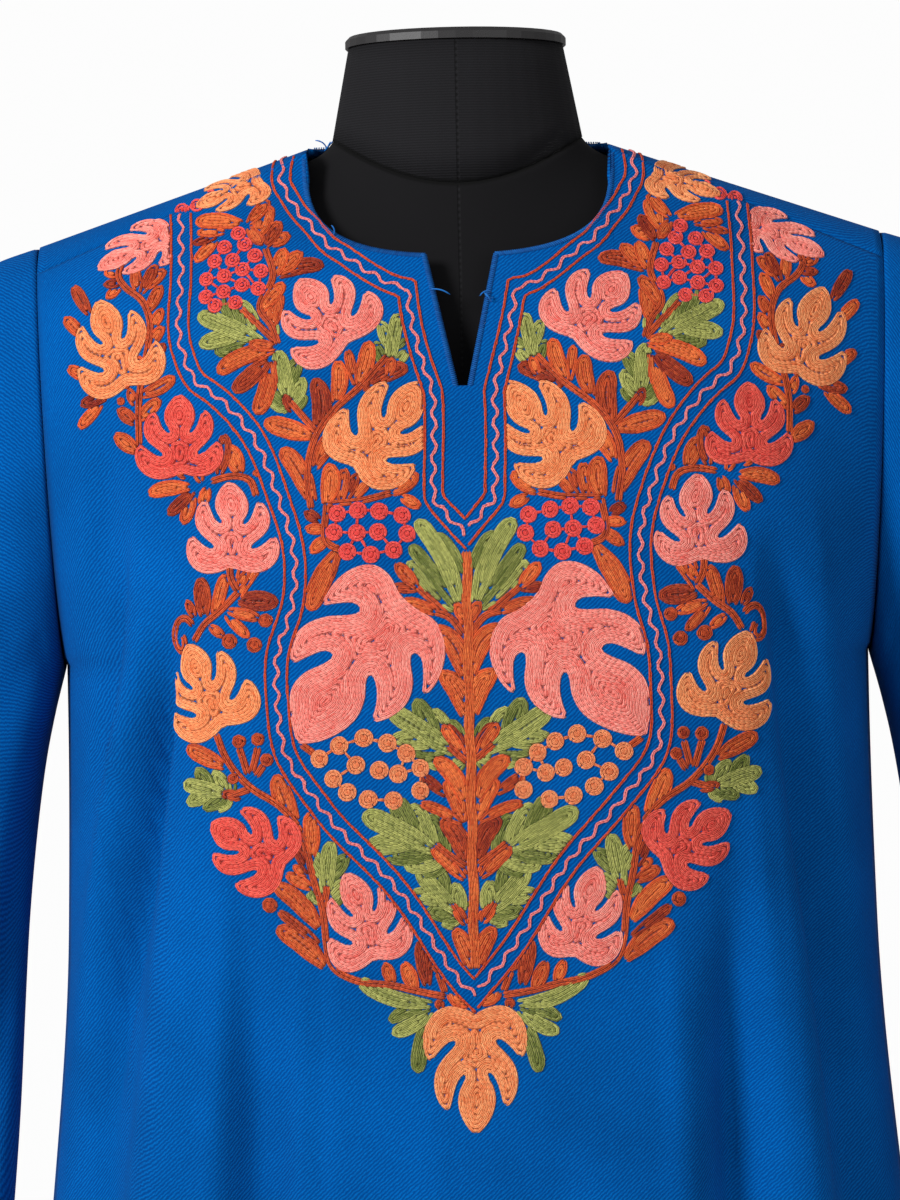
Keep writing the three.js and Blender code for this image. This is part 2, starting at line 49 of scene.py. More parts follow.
def new_finish(name, base, roughness, specular=0.5, sheen=0.0):
    finish = bpy.data.materials.new(name)
    finish.use_nodes = True
    shader = finish.node_tree.nodes["Principled BSDF"]
    shader.inputs["Base Color"].default_value = (*base, 1)
    shader.inputs["Roughness"].default_value = roughness
    shader.inputs["Specular IOR Level"].default_value = specular
    shader.inputs["Sheen Weight"].default_value = sheen
    shader.inputs["Sheen Roughness"].default_value = 0.5
    return finish, finish.node_tree, shader


def add_node(tree, kind, inputs=None, **settings):
    made = tree.nodes.new(kind)
    for key, value in settings.items():
        setattr(made, key, value)
    for key, value in (inputs or {}).items():
        if isinstance(value, bpy.types.NodeSocket):
            tree.links.new(value, made.inputs[key])
        else:
            made.inputs[key].default_value = value
    return made


def noise(tree, place, scale, detail):
    return add_node(tree, "ShaderNodeTexNoise", {"Vector": place, "Scale": scale, "Detail": detail}).outputs["Fac"]


def maths(tree, operation, *values):
    return add_node(tree, "ShaderNodeMath", dict(enumerate(values)), operation=operation).outputs[0]


def ranged(tree, value, low, high, least, most):
    return add_node(tree, "ShaderNodeMapRange", {"Value": value, "From Min": low, "From Max": high,
                                                 "To Min": least, "To Max": most}).outputs["Result"]


def blend(tree, factor, first, second):
    a, b = ((*colour, 1) if isinstance(colour, tuple) else colour for colour in (first, second))
    return add_node(tree, "ShaderNodeMix", {"Factor": factor, "A": a, "B": b}, data_type="RGBA").outputs["Result"]


def bumped(tree, height, strength, distance, under=None, invert=False):
    inputs = {"Height": height, "Strength": strength, "Distance": distance}
    if under is not None:
        inputs["Normal"] = under
    return add_node(tree, "ShaderNodeBump", inputs, invert=invert).outputs["Normal"]


def effect(name, values, make):
    """A node group that several finishes share: it makes what the shader takes from a place and two tones."""
    group = bpy.data.node_groups.new(name, "ShaderNodeTree")
    inputs = {"Vector": "Vector", "Dark": "Color", "Light": "Color", **{value: "Float" for value in values}}
    for label, kind in inputs.items():
        group.interface.new_socket(label, in_out="INPUT", socket_type=f"NodeSocket{kind}")
    made = make(group, group.nodes.new("NodeGroupInput").outputs)
    for label, kind in (("Base Color", "Color"), ("Roughness", "Float"), ("Normal", "Vector")):
        if label in made:
            group.interface.new_socket(label, in_out="OUTPUT", socket_type=f"NodeSocket{kind}")
    out = group.nodes.new("NodeGroupOutput")
    for label, socket in made.items():
        group.links.new(socket, out.inputs[label])
    return group


def use_effect(tree, shader, group, dark, light, **values):
    inputs = {"Vector": add_node(tree, "ShaderNodeTexCoord").outputs["Object"], "Dark": (*dark, 1),
              "Light": (*light, 1), **{key.replace("_", " ").title(): value for key, value in values.items()}}
    for output in add_node(tree, "ShaderNodeGroup", inputs, node_tree=group).outputs:
        if output.name != "Base Color" or dark != light:
            tree.links.new(output, shader.inputs[output.name])


def coat(tree, given):
    """Fine grain under an uneven gloss, which goes with the tone."""
    wear = noise(tree, given["Vector"], given["Wear Scale"], given["Wear Detail"])
    grain = noise(tree, given["Vector"], given["Grain Scale"], given["Grain Detail"])
    return {"Base Color": blend(tree, wear, given["Dark"], given["Light"]),
            "Roughness": ranged(tree, wear, 0.0, 1.0, given["Glossiest"], given["Dullest"]),
            "Normal": bumped(tree, grain, given["Grain Strength"], given["Grain Height"])}


HARD_COAT = effect("hard_coat", ("Grain Scale", "Grain Detail", "Grain Strength", "Grain Height", "Wear Scale",
                                 "Wear Detail", "Glossiest", "Dullest"), coat)


def coated(name, dark, light, **values):
    finish, tree, shader = new_finish(name, light, 0.45)
    use_effect(tree, shader, HARD_COAT, dark, light, **values)
    return finish


STEEL = coated("powder_coated_steel", (0.009, 0.009, 0.010), (0.018, 0.018, 0.019), grain_scale=900.0,
               grain_detail=2.0, grain_strength=0.25, grain_height=0.0003, wear_scale=9.0, wear_detail=5.0,
               glossiest=0.34, dullest=0.52)
for name in ("stand_pole", "stand_foot"):
    for place in cad_node[name].material_slots:
        place.material = STEEL


# ---- The cap on the neck -------------------------------------------------------------------------------------
# A thin black lid of moulded plastic that closes the form's neck, with a bevelled rim. It keeps its solid.

CAP = coated("moulded_black_cap", (0.014, 0.013, 0.014), (0.014, 0.013, 0.014), grain_scale=1600.0,
             grain_detail=1.0, grain_strength=0.2, grain_height=0.0002, wear_scale=30.0, wear_detail=6.0,
             glossiest=0.38, dullest=0.55)
for place in cad_node["form_neck_cap"].material_slots:
    place.material = CAP


# ---- The dress form ------------------------------------------------------------------------------------------
# A limbless padded torso, smooth and whole, with a short neck. Its fine black cover is joined to a ribbed neck
# band by one seam; a second seam with a row of small stitches runs down the middle of the front.

def link(name, mesh):
    piece = bpy.data.objects.new(name, mesh)
    bpy.context.scene.collection.objects.link(piece)
    bpy.ops.object.select_all(action="DESELECT")
    bpy.context.view_layer.objects.active = piece
    piece.select_set(True)
    return piece


def smooth_copy(name, node, levels):
    piece = link(name, cad_node[node].data.copy())
    piece.data.name = name
    bpy.ops.object.mode_set(mode="EDIT")
    bpy.ops.mesh.select_all(action="SELECT")
    bpy.ops.mesh.remove_doubles(threshold=0.00002)
    bpy.ops.mesh.tris_convert_to_quads(face_threshold=math.radians(70), shape_threshold=math.radians(70))
    bpy.ops.mesh.normals_make_consistent(inside=False)
    bpy.ops.mesh.select_all(action="DESELECT")
    bpy.ops.mesh.edges_select_sharp(sharpness=math.radians(50))
    bpy.ops.transform.edge_crease(value=1.0)
    bpy.ops.object.mode_set(mode="OBJECT")
    rounding = piece.modifiers.new("rounding", "SUBSURF")
    rounding.levels = rounding.render_levels = levels
    bpy.ops.object.modifier_apply(modifier=rounding.name)
    bpy.ops.object.shade_smooth()
    return piece


NECK_SEAM_HEIGHT, NECK_SEAM_DIP = 1.453, 0.026 / 0.048 ** 2  # in metres; the seam dips at the front


def ribbed(tree, given):
    """Fine level ribs with a little fuzz, the two seams, and the groove that they are drawn into."""
    place = given["Vector"]
    ribs = add_node(tree, "ShaderNodeTexWave", {"Vector": place, "Scale": given["Ribs"], "Distortion": 1.2,
                                                "Detail": 2.0, "Detail Scale": 2.5},
                    wave_type="BANDS", bands_direction="Z", wave_profile="SIN").outputs["Fac"]
    fuzz, cloud = noise(tree, place, 700.0, 3.0), noise(tree, place, 14.0, 3.0)
    raised = bumped(tree, maths(tree, "ADD", ribs, fuzz), 0.5, given["Rib Height"])
    tone = blend(tree, maths(tree, "MULTIPLY", ribs, cloud), given["Dark"], given["Light"])
    spot = add_node(tree, "ShaderNodeSeparateXYZ", {"Vector": place}).outputs
    # the seam down the middle of the front, with its row of small stitches
    near_middle = ranged(tree, maths(tree, "ABSOLUTE", spot["X"]), 0.0003, 0.0009, 0.8, 0.0)
    down = maths(tree, "MULTIPLY", near_middle, maths(tree, "LESS_THAN", spot["Y"], 0.0))
    stitches = add_node(tree, "ShaderNodeTexWave", {"Vector": place, "Scale": 95.0}, wave_type="BANDS",
                        bands_direction="Z").outputs["Fac"]
    sewn = blend(tree, down, tone, blend(tree, stitches, (0.0012, 0.0012, 0.0013), (0.0105, 0.0102, 0.012)))
    # the seam round the neck, where the cover meets the band
    ahead = maths(tree, "MINIMUM", spot["Y"], 0.0)
    level = maths(tree, "MULTIPLY_ADD", maths(tree, "MULTIPLY", ahead, ahead), NECK_SEAM_DIP, spot["Z"])
    off = maths(tree, "ABSOLUTE", maths(tree, "SUBTRACT", level, NECK_SEAM_HEIGHT))
    round_neck = ranged(tree, off, 0.0006, 0.0016, 0.9, 0.0)
    groove = maths(tree, "MAXIMUM", down, round_neck)
    return {"Base Color": blend(tree, round_neck, sewn, (0.0006, 0.0006, 0.0006)),
            "Normal": bumped(tree, groove, 0.6, 0.0008, under=raised, invert=True)}


FORM_CLOTH = effect("form_cloth", ("Ribs", "Rib Height"), ribbed)


def form_cloth(name, dark, light, ribs_a_metre, rib_height):
    finish, tree, shader = new_finish(name, light, 0.9, specular=0.2)
    use_effect(tree, shader, FORM_CLOTH, dark, light, ribs=ribs_a_metre, rib_height=rib_height)
    return finish


def wear(piece, finish, slot, node=None):
    piece.data.materials.clear()
    piece.data.materials.append(finish)
    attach(piece, "root")
    if node:
        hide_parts(node)


COVER = form_cloth("black_jersey", (0.0031, 0.0029, 0.0036), (0.0060, 0.0056, 0.0068), 620.0, 0.00005)
BAND = form_cloth("ribbed_neck_band", (0.0064, 0.0062, 0.0075), (0.0145, 0.0141, 0.0166), 235.0, 0.0002)
torso = smooth_copy("form_cover_body", "form_torso", 2)
wear(torso, COVER, "form_cover", "form_torso")
neck = smooth_copy("form_cover_neck", "form_neck", 2)
wear(neck, BAND, "form_cover", "form_neck")


# ---- The front of the robe -----------------------------------------------------------------------------------
# One piece of blue wool twill from the shoulder seams to the hem, cut with a wide round neck and a slit that
# opens down the chest. It hangs from the shoulders, smooth over the chest and in long soft folds below.

WALL, SEAM_GAP = 1.6, 0.3
ARM_TOP, ARM_FOOT, ARM_DEPTH = (215.0, 1402.0), (205.0, 1188.0), 55.0  # x and height; a half oval to the front
SEAM_TURN = math.radians(31)  # how far round the shoulder its seam lies in front of the ridge
NECK_ACROSS, NECK_HEIGHT, NECK_RIDGE, NECK_FRONT = 77.0, 1445.0, 1449.0, 1390.0
NAPE_HEIGHT, NAPE_REACH = 1461.0, 70.0
SLIT_MOUTH, SLIT_FOOT, SLIT_BOTTOM = 17.5, 3.0, 1323.0
HEM_MIDDLE, HEM_SIDE = 372.0, 356.0
UNDERARM_FOOT, UNDERARM_TOP, UNDERARM_DEPTH = 1130, 1262, 52.3  # where the cloth eases into its side seam
PULL_DEPTH, PULL_REACH = 0.9, 2.6  # how far a seam draws the cloth in, and over what width
YOKE_ROWS, FRONT_SKIRT_ROWS = 64, 92
# height, half width, reach of the front, reach of the back, bow and turn of the plan
BODY_ROWS = [
    (356, 288, 153, 151, 2.2, 0.5), (571, 264, 144, 138, 2.2, 0.5), (771, 238, 135, 127, 2.4, 0.5),
    (911, 218, 129, 118, 2.7, 0.5), (1051, 207, 127, 113, 3.2, 0.52), (1171, 205, 128, 112, 3.7, 0.6),
    (1226, 205, 123, 111, 3.6, 0.78), (1308, 205, 103, 105, 3.1, 0.96), (1373, 205, 76, 94, 2.6, 1),
    (1398, 205, 64, 89, 2.4, 1), (1424, 205, 46, 82, 2.3, 1), (1445, 205, 29, 76, 2.2, 1),
    (1461, 205, 20, 70, 2.2, 1)]
# x and height where a fold starts, x at the hem, height where it is full, half width, rise, height where it ends
FRONT_FOLDS = [
    (-96, 1080, -128, 930, 34, -13, 0), (-138, 1110, -214, 860, 36, 9, 0), (-146, 1250, -262, 1090, 22, -12, 0),
    (-176, 1310, -250, 1250, 15, -7, 1130), (-48, 960, -72, 700, 40, 11, 0), (2, 900, -10, 620, 40, -12, 0),
    (62, 980, 74, 720, 42, 12, 0), (124, 1110, 142, 950, 27, -14, 0), (148, 1140, 196, 960, 23, 9, 0),
    (150, 1270, 258, 1180, 20, -12, 0)]
SMALL_FRONT_FOLDS = [
    (-158, 1236, -236, 1120, 9, 2.6, 700), (-132, 1230, -238, 1130, 8, -2.2, 760),
    (-168, 1190, -246, 1060, 7, -2.4, 600), (-116, 1150, -170, 1020, 12, 2.4, 640),
    (-74, 1130, -96, 960, 14, -1.8, 700), (-20, 1050, -38, 860, 16, 1.6, 500), (40, 1040, 52, 820, 15, -1.6, 480),
    (96, 1120, 108, 980, 12, 2.4, 600), (137, 1180, 168, 1040, 9, 2.2, 700), (160, 1200, 216, 1080, 8, -2.6, 640),
    (170, 1290, 262, 1200, 8, 2.0, 980), (150, 1240, 236, 1120, 7, -1.6, 800),
    (-138, 1235, -322, 1130, 11.5, -12, 760), (-153, 1240, -338, 1140, 11.5, 8, 760),
    (-166, 1290, -275, 1210, 9, -8, 1040), (-108, 1090, -136, 960, 15, -5.5, 420),
    (-84, 1070, -110, 940, 16, 4, 420), (127, 1130, 146, 970, 15, -5, 0)]


def share(value, low, high):
    return np.clip((value - low) / (high - low), 0, 1)


def ease(value, low, high):
    t = share(value, low, high)
    return t * t * (3 - 2 * t)


def lerp(a, b, t):
    return a + (b - a) * t


def curve(t, step, here, here_slope, there, there_slope):
    return ((2 * t**3 - 3 * t**2 + 1) * here + (t**3 - 2 * t**2 + t) * step * here_slope
            + (3 * t**2 - 2 * t**3) * there + (t**3 - t**2) * step * there_slope)


def reading(rows, column):
    """Reads one column of a table at any place, along a curve that doesn't overshoot its rows."""
    rows = np.array(rows, float)
    at, value = rows[:, 0], rows[:, column]
    slope = np.diff(value) / np.diff(at)
    tangent = np.zeros(len(at))
    tangent[0], tangent[-1] = slope[0], slope[-1]
    a, b = slope[:-1], slope[1:]
    same = a * b > 0
    tangent[1:-1][same] = 2 * a[same] * b[same] / (a[same] + b[same])

    def read(place):
        x = np.clip(place, at[0], at[-1])
        k = np.clip(np.searchsorted(at, x) - 1, 0, len(at) - 2)
        step = at[k + 1] - at[k]
        return curve((x - at[k]) / step, step, value[k], tangent[k], value[k + 1], tangent[k + 1])

    return read


half_at, front_at, back_at, bow_at, turn_at = [reading(BODY_ROWS, c) for c in range(1, 6)]


def armhole_at(z):
    up = share(z, ARM_FOOT[1], ARM_TOP[1])
    return lerp(ARM_FOOT[0], ARM_TOP[0], up), ARM_DEPTH * np.sqrt(np.maximum(0, 1 - (2 * up - 1) ** 2))


SEAM_TIP_Z = ARM_TOP[1] - (ARM_TOP[1] - ARM_FOOT[1]) * (1 - math.cos(SEAM_TURN)) / 2
SEAM_TIP_X, SEAM_Y = (float(v) for v in armhole_at(SEAM_TIP_Z))


def below_arm(z, x, y):
    low = z < ARM_FOOT[1]
    return np.where(low, half_at(z), x), np.where(low, 0, y)


def front_edge(z):
    x, y = armhole_at(z)
    high = z >= SEAM_TIP_Z
    x = np.where(high, lerp(SEAM_TIP_X, NECK_ACROSS, share(z, SEAM_TIP_Z, NECK_HEIGHT)), x)
    return below_arm(z, x, np.where(high, SEAM_Y, y))


def back_edge(z):
    x, y = armhole_at(z)
    ridge = z >= ARM_TOP[1]
    x = np.where(ridge, lerp(ARM_TOP[0], NECK_ACROSS, share(z, ARM_TOP[1], NECK_RIDGE)), x)
    rounded = np.sqrt(share(z, NECK_RIDGE, NAPE_HEIGHT))
    nape = z >= NECK_RIDGE
    x = np.where(nape, NECK_ACROSS * np.sqrt(np.maximum(0, 1 - rounded**2)), x)
    return below_arm(z, x, np.where(nape, NAPE_REACH * rounded, np.where(ridge, 0, y)))


def fold_rise(folds, x, z):
    """How far the folds stand out at a place; each widens on its way down."""
    total = np.zeros(np.broadcast(x, z).shape)
    for start_x, start_z, hem_x, full_z, reach, rise, end_z in folds:
        down = share(z, start_z, HEM_MIDDLE)
        off = (x - lerp(start_x, hem_x, down)) / (reach * lerp(0.8, 1.25, down))
        grown = ease(start_z - z, 0, start_z - full_z) * (ease(z, end_z, full_z) if end_z else 1)
        total += rise * grown * np.where(np.abs(off) < 1, 1 + np.cos(np.pi * np.clip(off, -1, 1)), 0) / 2
    return total


def spread_at(z):
    return np.where(z >= ARM_FOOT[1], armhole_at(np.minimum(z, SEAM_TIP_Z))[0], half_at(z))


def pulled_in(from_seam):
    return PULL_DEPTH * np.exp(-((from_seam / PULL_REACH) ** 2))


def on_panel(reach_at, edge_at, folds, facing, side, z):
    """A point of a panel's outer face; side runs from -1 to 1 across it."""
    edge_x, edge_y = edge_at(z)
    across = np.abs(side) * spread_at(z)
    full = np.where(z < UNDERARM_TOP, UNDERARM_DEPTH * ease(z, UNDERARM_FOOT, UNDERARM_TOP), edge_y)

    def depth(x):
        s = np.clip(x / np.maximum(edge_x, 1), 0, 1)
        side_y = lerp(full, edge_y, s**10)
        return side_y + np.maximum(0, reach_at(z) - side_y) * (1 - s ** bow_at(z)) ** turn_at(z)

    slope = depth(across + 1) - depth(across - 1)
    length = np.hypot(slope, 2)
    quiet = 1 - ease(np.abs(side), 0.86, 1)  # folds die away towards the seams
    rise = fold_rise(folds, np.sign(side) * across, z) * quiet
    x = across - slope / length * rise
    y = depth(across) + 2 / length * rise + SEAM_GAP / 2 - pulled_in((1 - np.abs(side)) * ARM_FOOT[0])
    return np.stack([np.sign(side) * x, facing * y, z + 0 * x], -1)


def on_front(side, z):
    return on_panel(front_at, front_edge, FRONT_FOLDS + SMALL_FRONT_FOLDS, -1, side, z)


def seam_height(x):
    return lerp(NECK_HEIGHT, SEAM_TIP_Z, share(x, NECK_ACROSS, SEAM_TIP_X))


def ridge_height(x):
    return lerp(NECK_RIDGE, ARM_TOP[1], share(x, NECK_ACROSS, ARM_TOP[0]))


def neck_sunk(a):
    return (NECK_HEIGHT - NECK_FRONT) * (1 - np.clip(a / NECK_ACROSS, 0, 1) ** 2.5) ** 0.28


def front_top(x):
    slit = lerp(SLIT_BOTTOM, NECK_HEIGHT - neck_sunk(SLIT_MOUTH), share(x, SLIT_FOOT, SLIT_MOUTH))
    neck = np.where(x >= SLIT_MOUTH, NECK_HEIGHT - neck_sunk(x), slit)
    return np.where(x > NECK_ACROSS, seam_height(x), neck)


def hem_height(side):
    return lerp(HEM_MIDDLE, HEM_SIDE, side * side)


def steps(low, high, count):
    return low + (high - low) * np.arange(1, count + 1) / count


def neck_steps(start, end, count):
    return NECK_ACROSS * np.sin(steps(start, end, count))


def mirrored(half):
    return np.concatenate([-half[:0:-1], half])


def new_piece(name, points, faces, tints=None):
    """A smooth mesh from points in millimetres and faces, with a tint for each point if they are given."""
    mesh = bpy.data.meshes.new(name)
    mesh.from_pydata((points.reshape(-1, 3) / 1000).tolist(), [], faces)
    if tints is not None:
        mesh.attributes.new("tint", "FLOAT", "POINT").data.foreach_set("value", tints)
    mesh.shade_smooth()
    return link(name, mesh)


def cloth_shell(name, grid, closed, outward, level_row=0, u=None):
    """A grid of rows of points in millimetres becomes a wall of cloth; its map is in millimetres of cloth."""
    rows, columns = grid.shape[:2]
    down = np.vstack([np.zeros(columns), np.cumsum(np.linalg.norm(np.diff(grid, axis=0), axis=2), 0)])
    v = down[level_row] - down
    if closed:
        round_it = np.linalg.norm(np.diff(grid, axis=1, append=grid[:, :1]), axis=2)
        u = np.hstack([np.zeros((rows, 1)), np.cumsum(round_it, 1)])
        v = np.hstack([v, v[:, :1]])
    last = columns if closed else columns - 1
    j, i = (index.ravel() for index in np.meshgrid(np.arange(rows - 1), np.arange(last), indexing="ij"))
    right = (i + 1) % columns
    faces = np.stack([j * columns + i, (j + 1) * columns + i, (j + 1) * columns + right, j * columns + right], 1)
    corners = np.stack([u[j, i], v[j, i], u[j + 1, i], v[j + 1, i], u[j + 1, i + 1], v[j + 1, i + 1],
                        u[j, i + 1], v[j, i + 1]], 1).reshape(-1, 4, 2)
    if outward < 0:
        faces, corners = faces[:, ::-1], corners[:, ::-1] * (-1, 1)
    piece = new_piece(name, grid, faces.tolist())
    piece.data.uv_layers.new(name="cloth_mm").data.foreach_set("uv", corners.ravel())
    wall = piece.modifiers.new("wall", "SOLIDIFY")
    wall.thickness, wall.offset = WALL / 1000, -1
    bpy.ops.object.modifier_apply(modifier=wall.name)
    return piece


def girth_to(place, side, z):
    """The length of cloth from the middle of a panel to each point of its grid, along its level."""
    ring = np.stack([place(side * t, z) for t in np.linspace(0, 1, 40)])
    return np.sign(side) * np.linalg.norm(np.diff(ring, axis=0), axis=3).sum(0)


RIB_ANGLE, RIB_GAP = math.radians(42), 1.6


def wool_twill():
    """Blue wool twill: fine ribs that rise to the right, with a soft brushed nap."""
    dark, light = (0.0, 0.055, 0.246), (0.0, 0.130, 0.462)
    finish, tree, shader = new_finish("blue_wool_twill", light, 0.95, specular=0.04, sheen=0.008)
    cloth = add_node(tree, "ShaderNodeUVMap", uv_map="cloth_mm").outputs["UV"]
    place = add_node(tree, "ShaderNodeTexCoord").outputs["Object"]
    turned = add_node(tree, "ShaderNodeVectorRotate", {"Vector": cloth, "Axis": (0, 0, 1), "Angle": -RIB_ANGLE},
                      rotation_type="AXIS_ANGLE").outputs["Vector"]
    across = add_node(tree, "ShaderNodeSeparateXYZ", {"Vector": turned}).outputs["Y"]
    wander, nap, cloud = noise(tree, cloth, 0.35, 2.0), noise(tree, cloth, 2.2, 3.0), noise(tree, place, 16.0, 3.0)
    shift = maths(tree, "MULTIPLY_ADD", wander, RIB_GAP, across)
    wave = maths(tree, "SINE", maths(tree, "MULTIPLY", shift, 2 * math.pi / RIB_GAP))
    long_way = add_node(tree, "ShaderNodeVectorMath", {0: turned, 1: (0.7, 1.6, 1.0)},
                        operation="MULTIPLY").outputs["Vector"]
    thread = maths(tree, "MULTIPLY", ranged(tree, wave, -1.0, 1.0, 0.0, 1.0), noise(tree, long_way, 1.0, 2.0))
    tone = blend(tree, ranged(tree, thread, 0.05, 0.62, 0.0, 1.0), dark, light)
    deep = ranged(tree, cloud, 0.3, 0.7, 0.86, 1.1)
    shade = add_node(tree, "ShaderNodeVectorMath", {0: tone, "Scale": deep}, operation="SCALE").outputs["Vector"]
    height = maths(tree, "MULTIPLY_ADD", nap, 0.5, thread)
    tree.links.new(shade, shader.inputs["Base Color"])
    tree.links.new(bumped(tree, height, 0.55, 0.0005), shader.inputs["Normal"])
    return finish


WOOL = wool_twill()
half = np.concatenate([[0], steps(0, SLIT_FOOT, 2), steps(SLIT_FOOT, SLIT_MOUTH, 6),
                       neck_steps(math.asin(SLIT_MOUTH / NECK_ACROSS), math.pi / 2, 16),
                       steps(NECK_ACROSS, SEAM_TIP_X, 36)])
column_x = mirrored(half)
top = front_top(np.abs(column_x))
yoke = lerp(top, ARM_FOOT[1], (np.arange(YOKE_ROWS + 1) / YOKE_ROWS)[:, None] ** 1.15)
skirt = lerp(ARM_FOOT[1], hem_height(column_x / SEAM_TIP_X), steps(0, 1, FRONT_SKIRT_ROWS)[:, None])
front_z = np.vstack([yoke, skirt])
side = column_x / SEAM_TIP_X + 0 * front_z
front = cloth_shell("robe_front", on_front(side, front_z), False, 1, YOKE_ROWS, girth_to(on_front, side, front_z))
wear(front, WOOL, "wool", "front")


# ---- The back of the robe ------------------------------------------------------------------------------------
# The same twill in one piece with a shallow round at the nape. It comes forward over the ridge of the shoulders
# to the shoulder seams, and falls from there in broad soft folds.

RIDGE_ROWS, NAPE_ROWS, BACK_YOKE_ROWS, BACK_SKIRT_ROWS = 9, 8, 48, 78
BACK_FOLDS = [
    (-146, 1240, -222, 1000, 34, -14, 0), (-98, 1150, -156, 850, 38, 12, 0), (-44, 1230, -84, 900, 36, -15, 0),
    (4, 1150, -6, 780, 40, 12, 0), (50, 1260, 84, 960, 34, -13, 0), (100, 1110, 160, 800, 40, 11, 0),
    (144, 1220, 226, 1020, 34, -14, 0)]
SMALL_BACK_FOLDS = [
    (-160, 1290, -240, 1180, 9, -2.2, 900), (-120, 1210, -180, 1080, 12, 2.2, 640),
    (-70, 1190, -110, 1040, 14, -2.0, 600), (-18, 1250, -40, 1100, 13, 2.2, 560),
    (26, 1220, 40, 1060, 13, -2.0, 600), (78, 1230, 124, 1060, 13, 2.2, 620),
    (122, 1180, 192, 1000, 12, -2.0, 560), (164, 1280, 244, 1160, 9, 2.4, 880)]


def on_back(side, z):
    return on_panel(back_at, back_edge, BACK_FOLDS + SMALL_BACK_FOLDS, 1, side, z)


def over_shoulder(x, turn):
    sunk = (1 - np.cos(turn)) / (1 - math.cos(SEAM_TURN))
    z = lerp(ridge_height(np.abs(x)), seam_height(np.abs(x)), sunk)
    drawn_in = pulled_in((SEAM_TURN - np.abs(turn)) * ARM_DEPTH) * (turn > 0)
    y = SEAM_GAP / 2 - SEAM_Y * np.sin(turn) / math.sin(SEAM_TURN)
    return np.stack([x + 0 * z, y + 0 * x, z - drawn_in], -1)


half = np.concatenate([[0], neck_steps(0, math.pi / 2, 16), steps(NECK_ACROSS, SEAM_TIP_X, 36)])
columns, girths = [], []
for x in mirrored(half):
    side, a = x / SEAM_TIP_X, abs(x)
    low = lerp(ARM_FOOT[1], hem_height(side), steps(0, 1, BACK_SKIRT_ROWS))
    yoke = steps(0, 1, BACK_YOKE_ROWS) ** 1.5
    if a >= NECK_ACROSS - 1e-6:
        z = np.concatenate([lerp(ridge_height(a), ARM_FOOT[1], yoke), low])
        over, ahead = over_shoulder(np.full(RIDGE_ROWS, x), np.linspace(SEAM_TURN, 0, RIDGE_ROWS)), RIDGE_ROWS
    else:
        rounded = (a / NECK_ACROSS) ** 2
        high = lerp(NAPE_HEIGHT, NECK_RIDGE, rounded)
        ridge = high - lerp(18, 3, rounded)
        z = np.concatenate([[high], steps(high, ridge, NAPE_ROWS), lerp(ridge, ARM_FOOT[1], yoke), low])
        over, ahead = np.empty((0, 3)), 0
    columns.append(np.vstack([over, on_back(np.full(len(z), side), z)]))
    girth = girth_to(on_back, np.full((1, len(z)), side), z[None])[0]
    girths.append(np.concatenate([np.full(ahead, girth[0]), girth]))
back = cloth_shell("robe_back", np.stack(columns, 1), False, -1, RIDGE_ROWS + BACK_YOKE_ROWS - 1,
                   np.stack(girths, 1))
wear(back, WOOL, "wool", "back")


# ---- The sleeves ---------------------------------------------------------------------------------------------
# Two wide straight sleeves of the same twill, each one piece folded along its outer side and sewn under the
# arm. With no arm inside they hang empty and flat, with a few long soft creases.

SLEEVE_ROWS, SLEEVE_COLUMNS = 86, 72
# x and height of the outer side, x and height of the inner side, half the depth
SLEEVE_RINGS = [(215, 1402, 205, 1188, 55), (240, 1393, 212, 1161, 56), (266, 1371, 218, 1129, 54),
                (290, 1335, 223, 1093, 50), (308, 1283, 227, 1053, 46), (321, 1218, 230, 1009, 43),
                (332, 1140, 233, 963, 41), (343, 1047, 237, 917, 39), (353, 940, 242, 869, 37)]
# where round the ring a crease starts and ends, in degrees, from and to along the sleeve, half width and rise
SLEEVE_FOLDS = [(150, 62, 0.02, 0.75, 24, -11), (172, 118, 0.12, 1.2, 22, -9), (112, 84, 0.25, 1.2, 20, 6),
                (214, 290, 0.02, 0.8, 24, -11), (196, 246, 0.15, 1.2, 22, -9)]
SMALL_SLEEVE_FOLDS = [(134, 96, 0.05, 0.6, 9, 2.2), (92, 50, 0.1, 0.7, 10, -2.4), (70, 40, 0.3, 1.2, 11, 2.2),
                      (126, 100, 0.45, 1.2, 9, -2.2), (232, 268, 0.1, 0.7, 10, 2.2),
                      (262, 300, 0.35, 1.2, 11, -2.0)]


def sleeve_grid(sign):
    rows = [(i / (len(SLEEVE_RINGS) - 1), *ring) for i, ring in enumerate(SLEEVE_RINGS)]
    along = np.linspace(0, 1, SLEEVE_ROWS)[:, None]
    outer_x, outer_z, inner_x, inner_z, depth = [reading(rows, c)(along) for c in range(1, 6)]
    degrees = np.arange(SLEEVE_COLUMNS)[None, :] * 360 / SLEEVE_COLUMNS
    turn = np.radians(degrees)
    rise = np.zeros((SLEEVE_ROWS, SLEEVE_COLUMNS))
    for start, end, low, high, reach, amount in SLEEVE_FOLDS + SMALL_SLEEVE_FOLDS:
        t = (along - low) / (high - low)
        off = (degrees - lerp(start, end, t)) / reach
        inside = (t > 0) & (t < 1) & (np.abs(off) < 1)
        rise += np.where(inside, amount * np.sin(np.pi * t) * (1 + np.cos(np.pi * off)) / 2, 0)
    rise = rise * ease(along, 0, 0.12) - PULL_DEPTH * np.exp(-((along / 0.008) ** 2))
    wide, high = (outer_x - inner_x) / 2, (outer_z - inner_z) / 2
    outwards = np.cos(turn) * (1 + rise / np.hypot(wide, high))
    x = inner_x + wide * (1 + outwards) + SEAM_GAP
    return np.stack([sign * x, -(depth + rise) * np.sin(turn), inner_z + high * (1 + outwards)], -1)


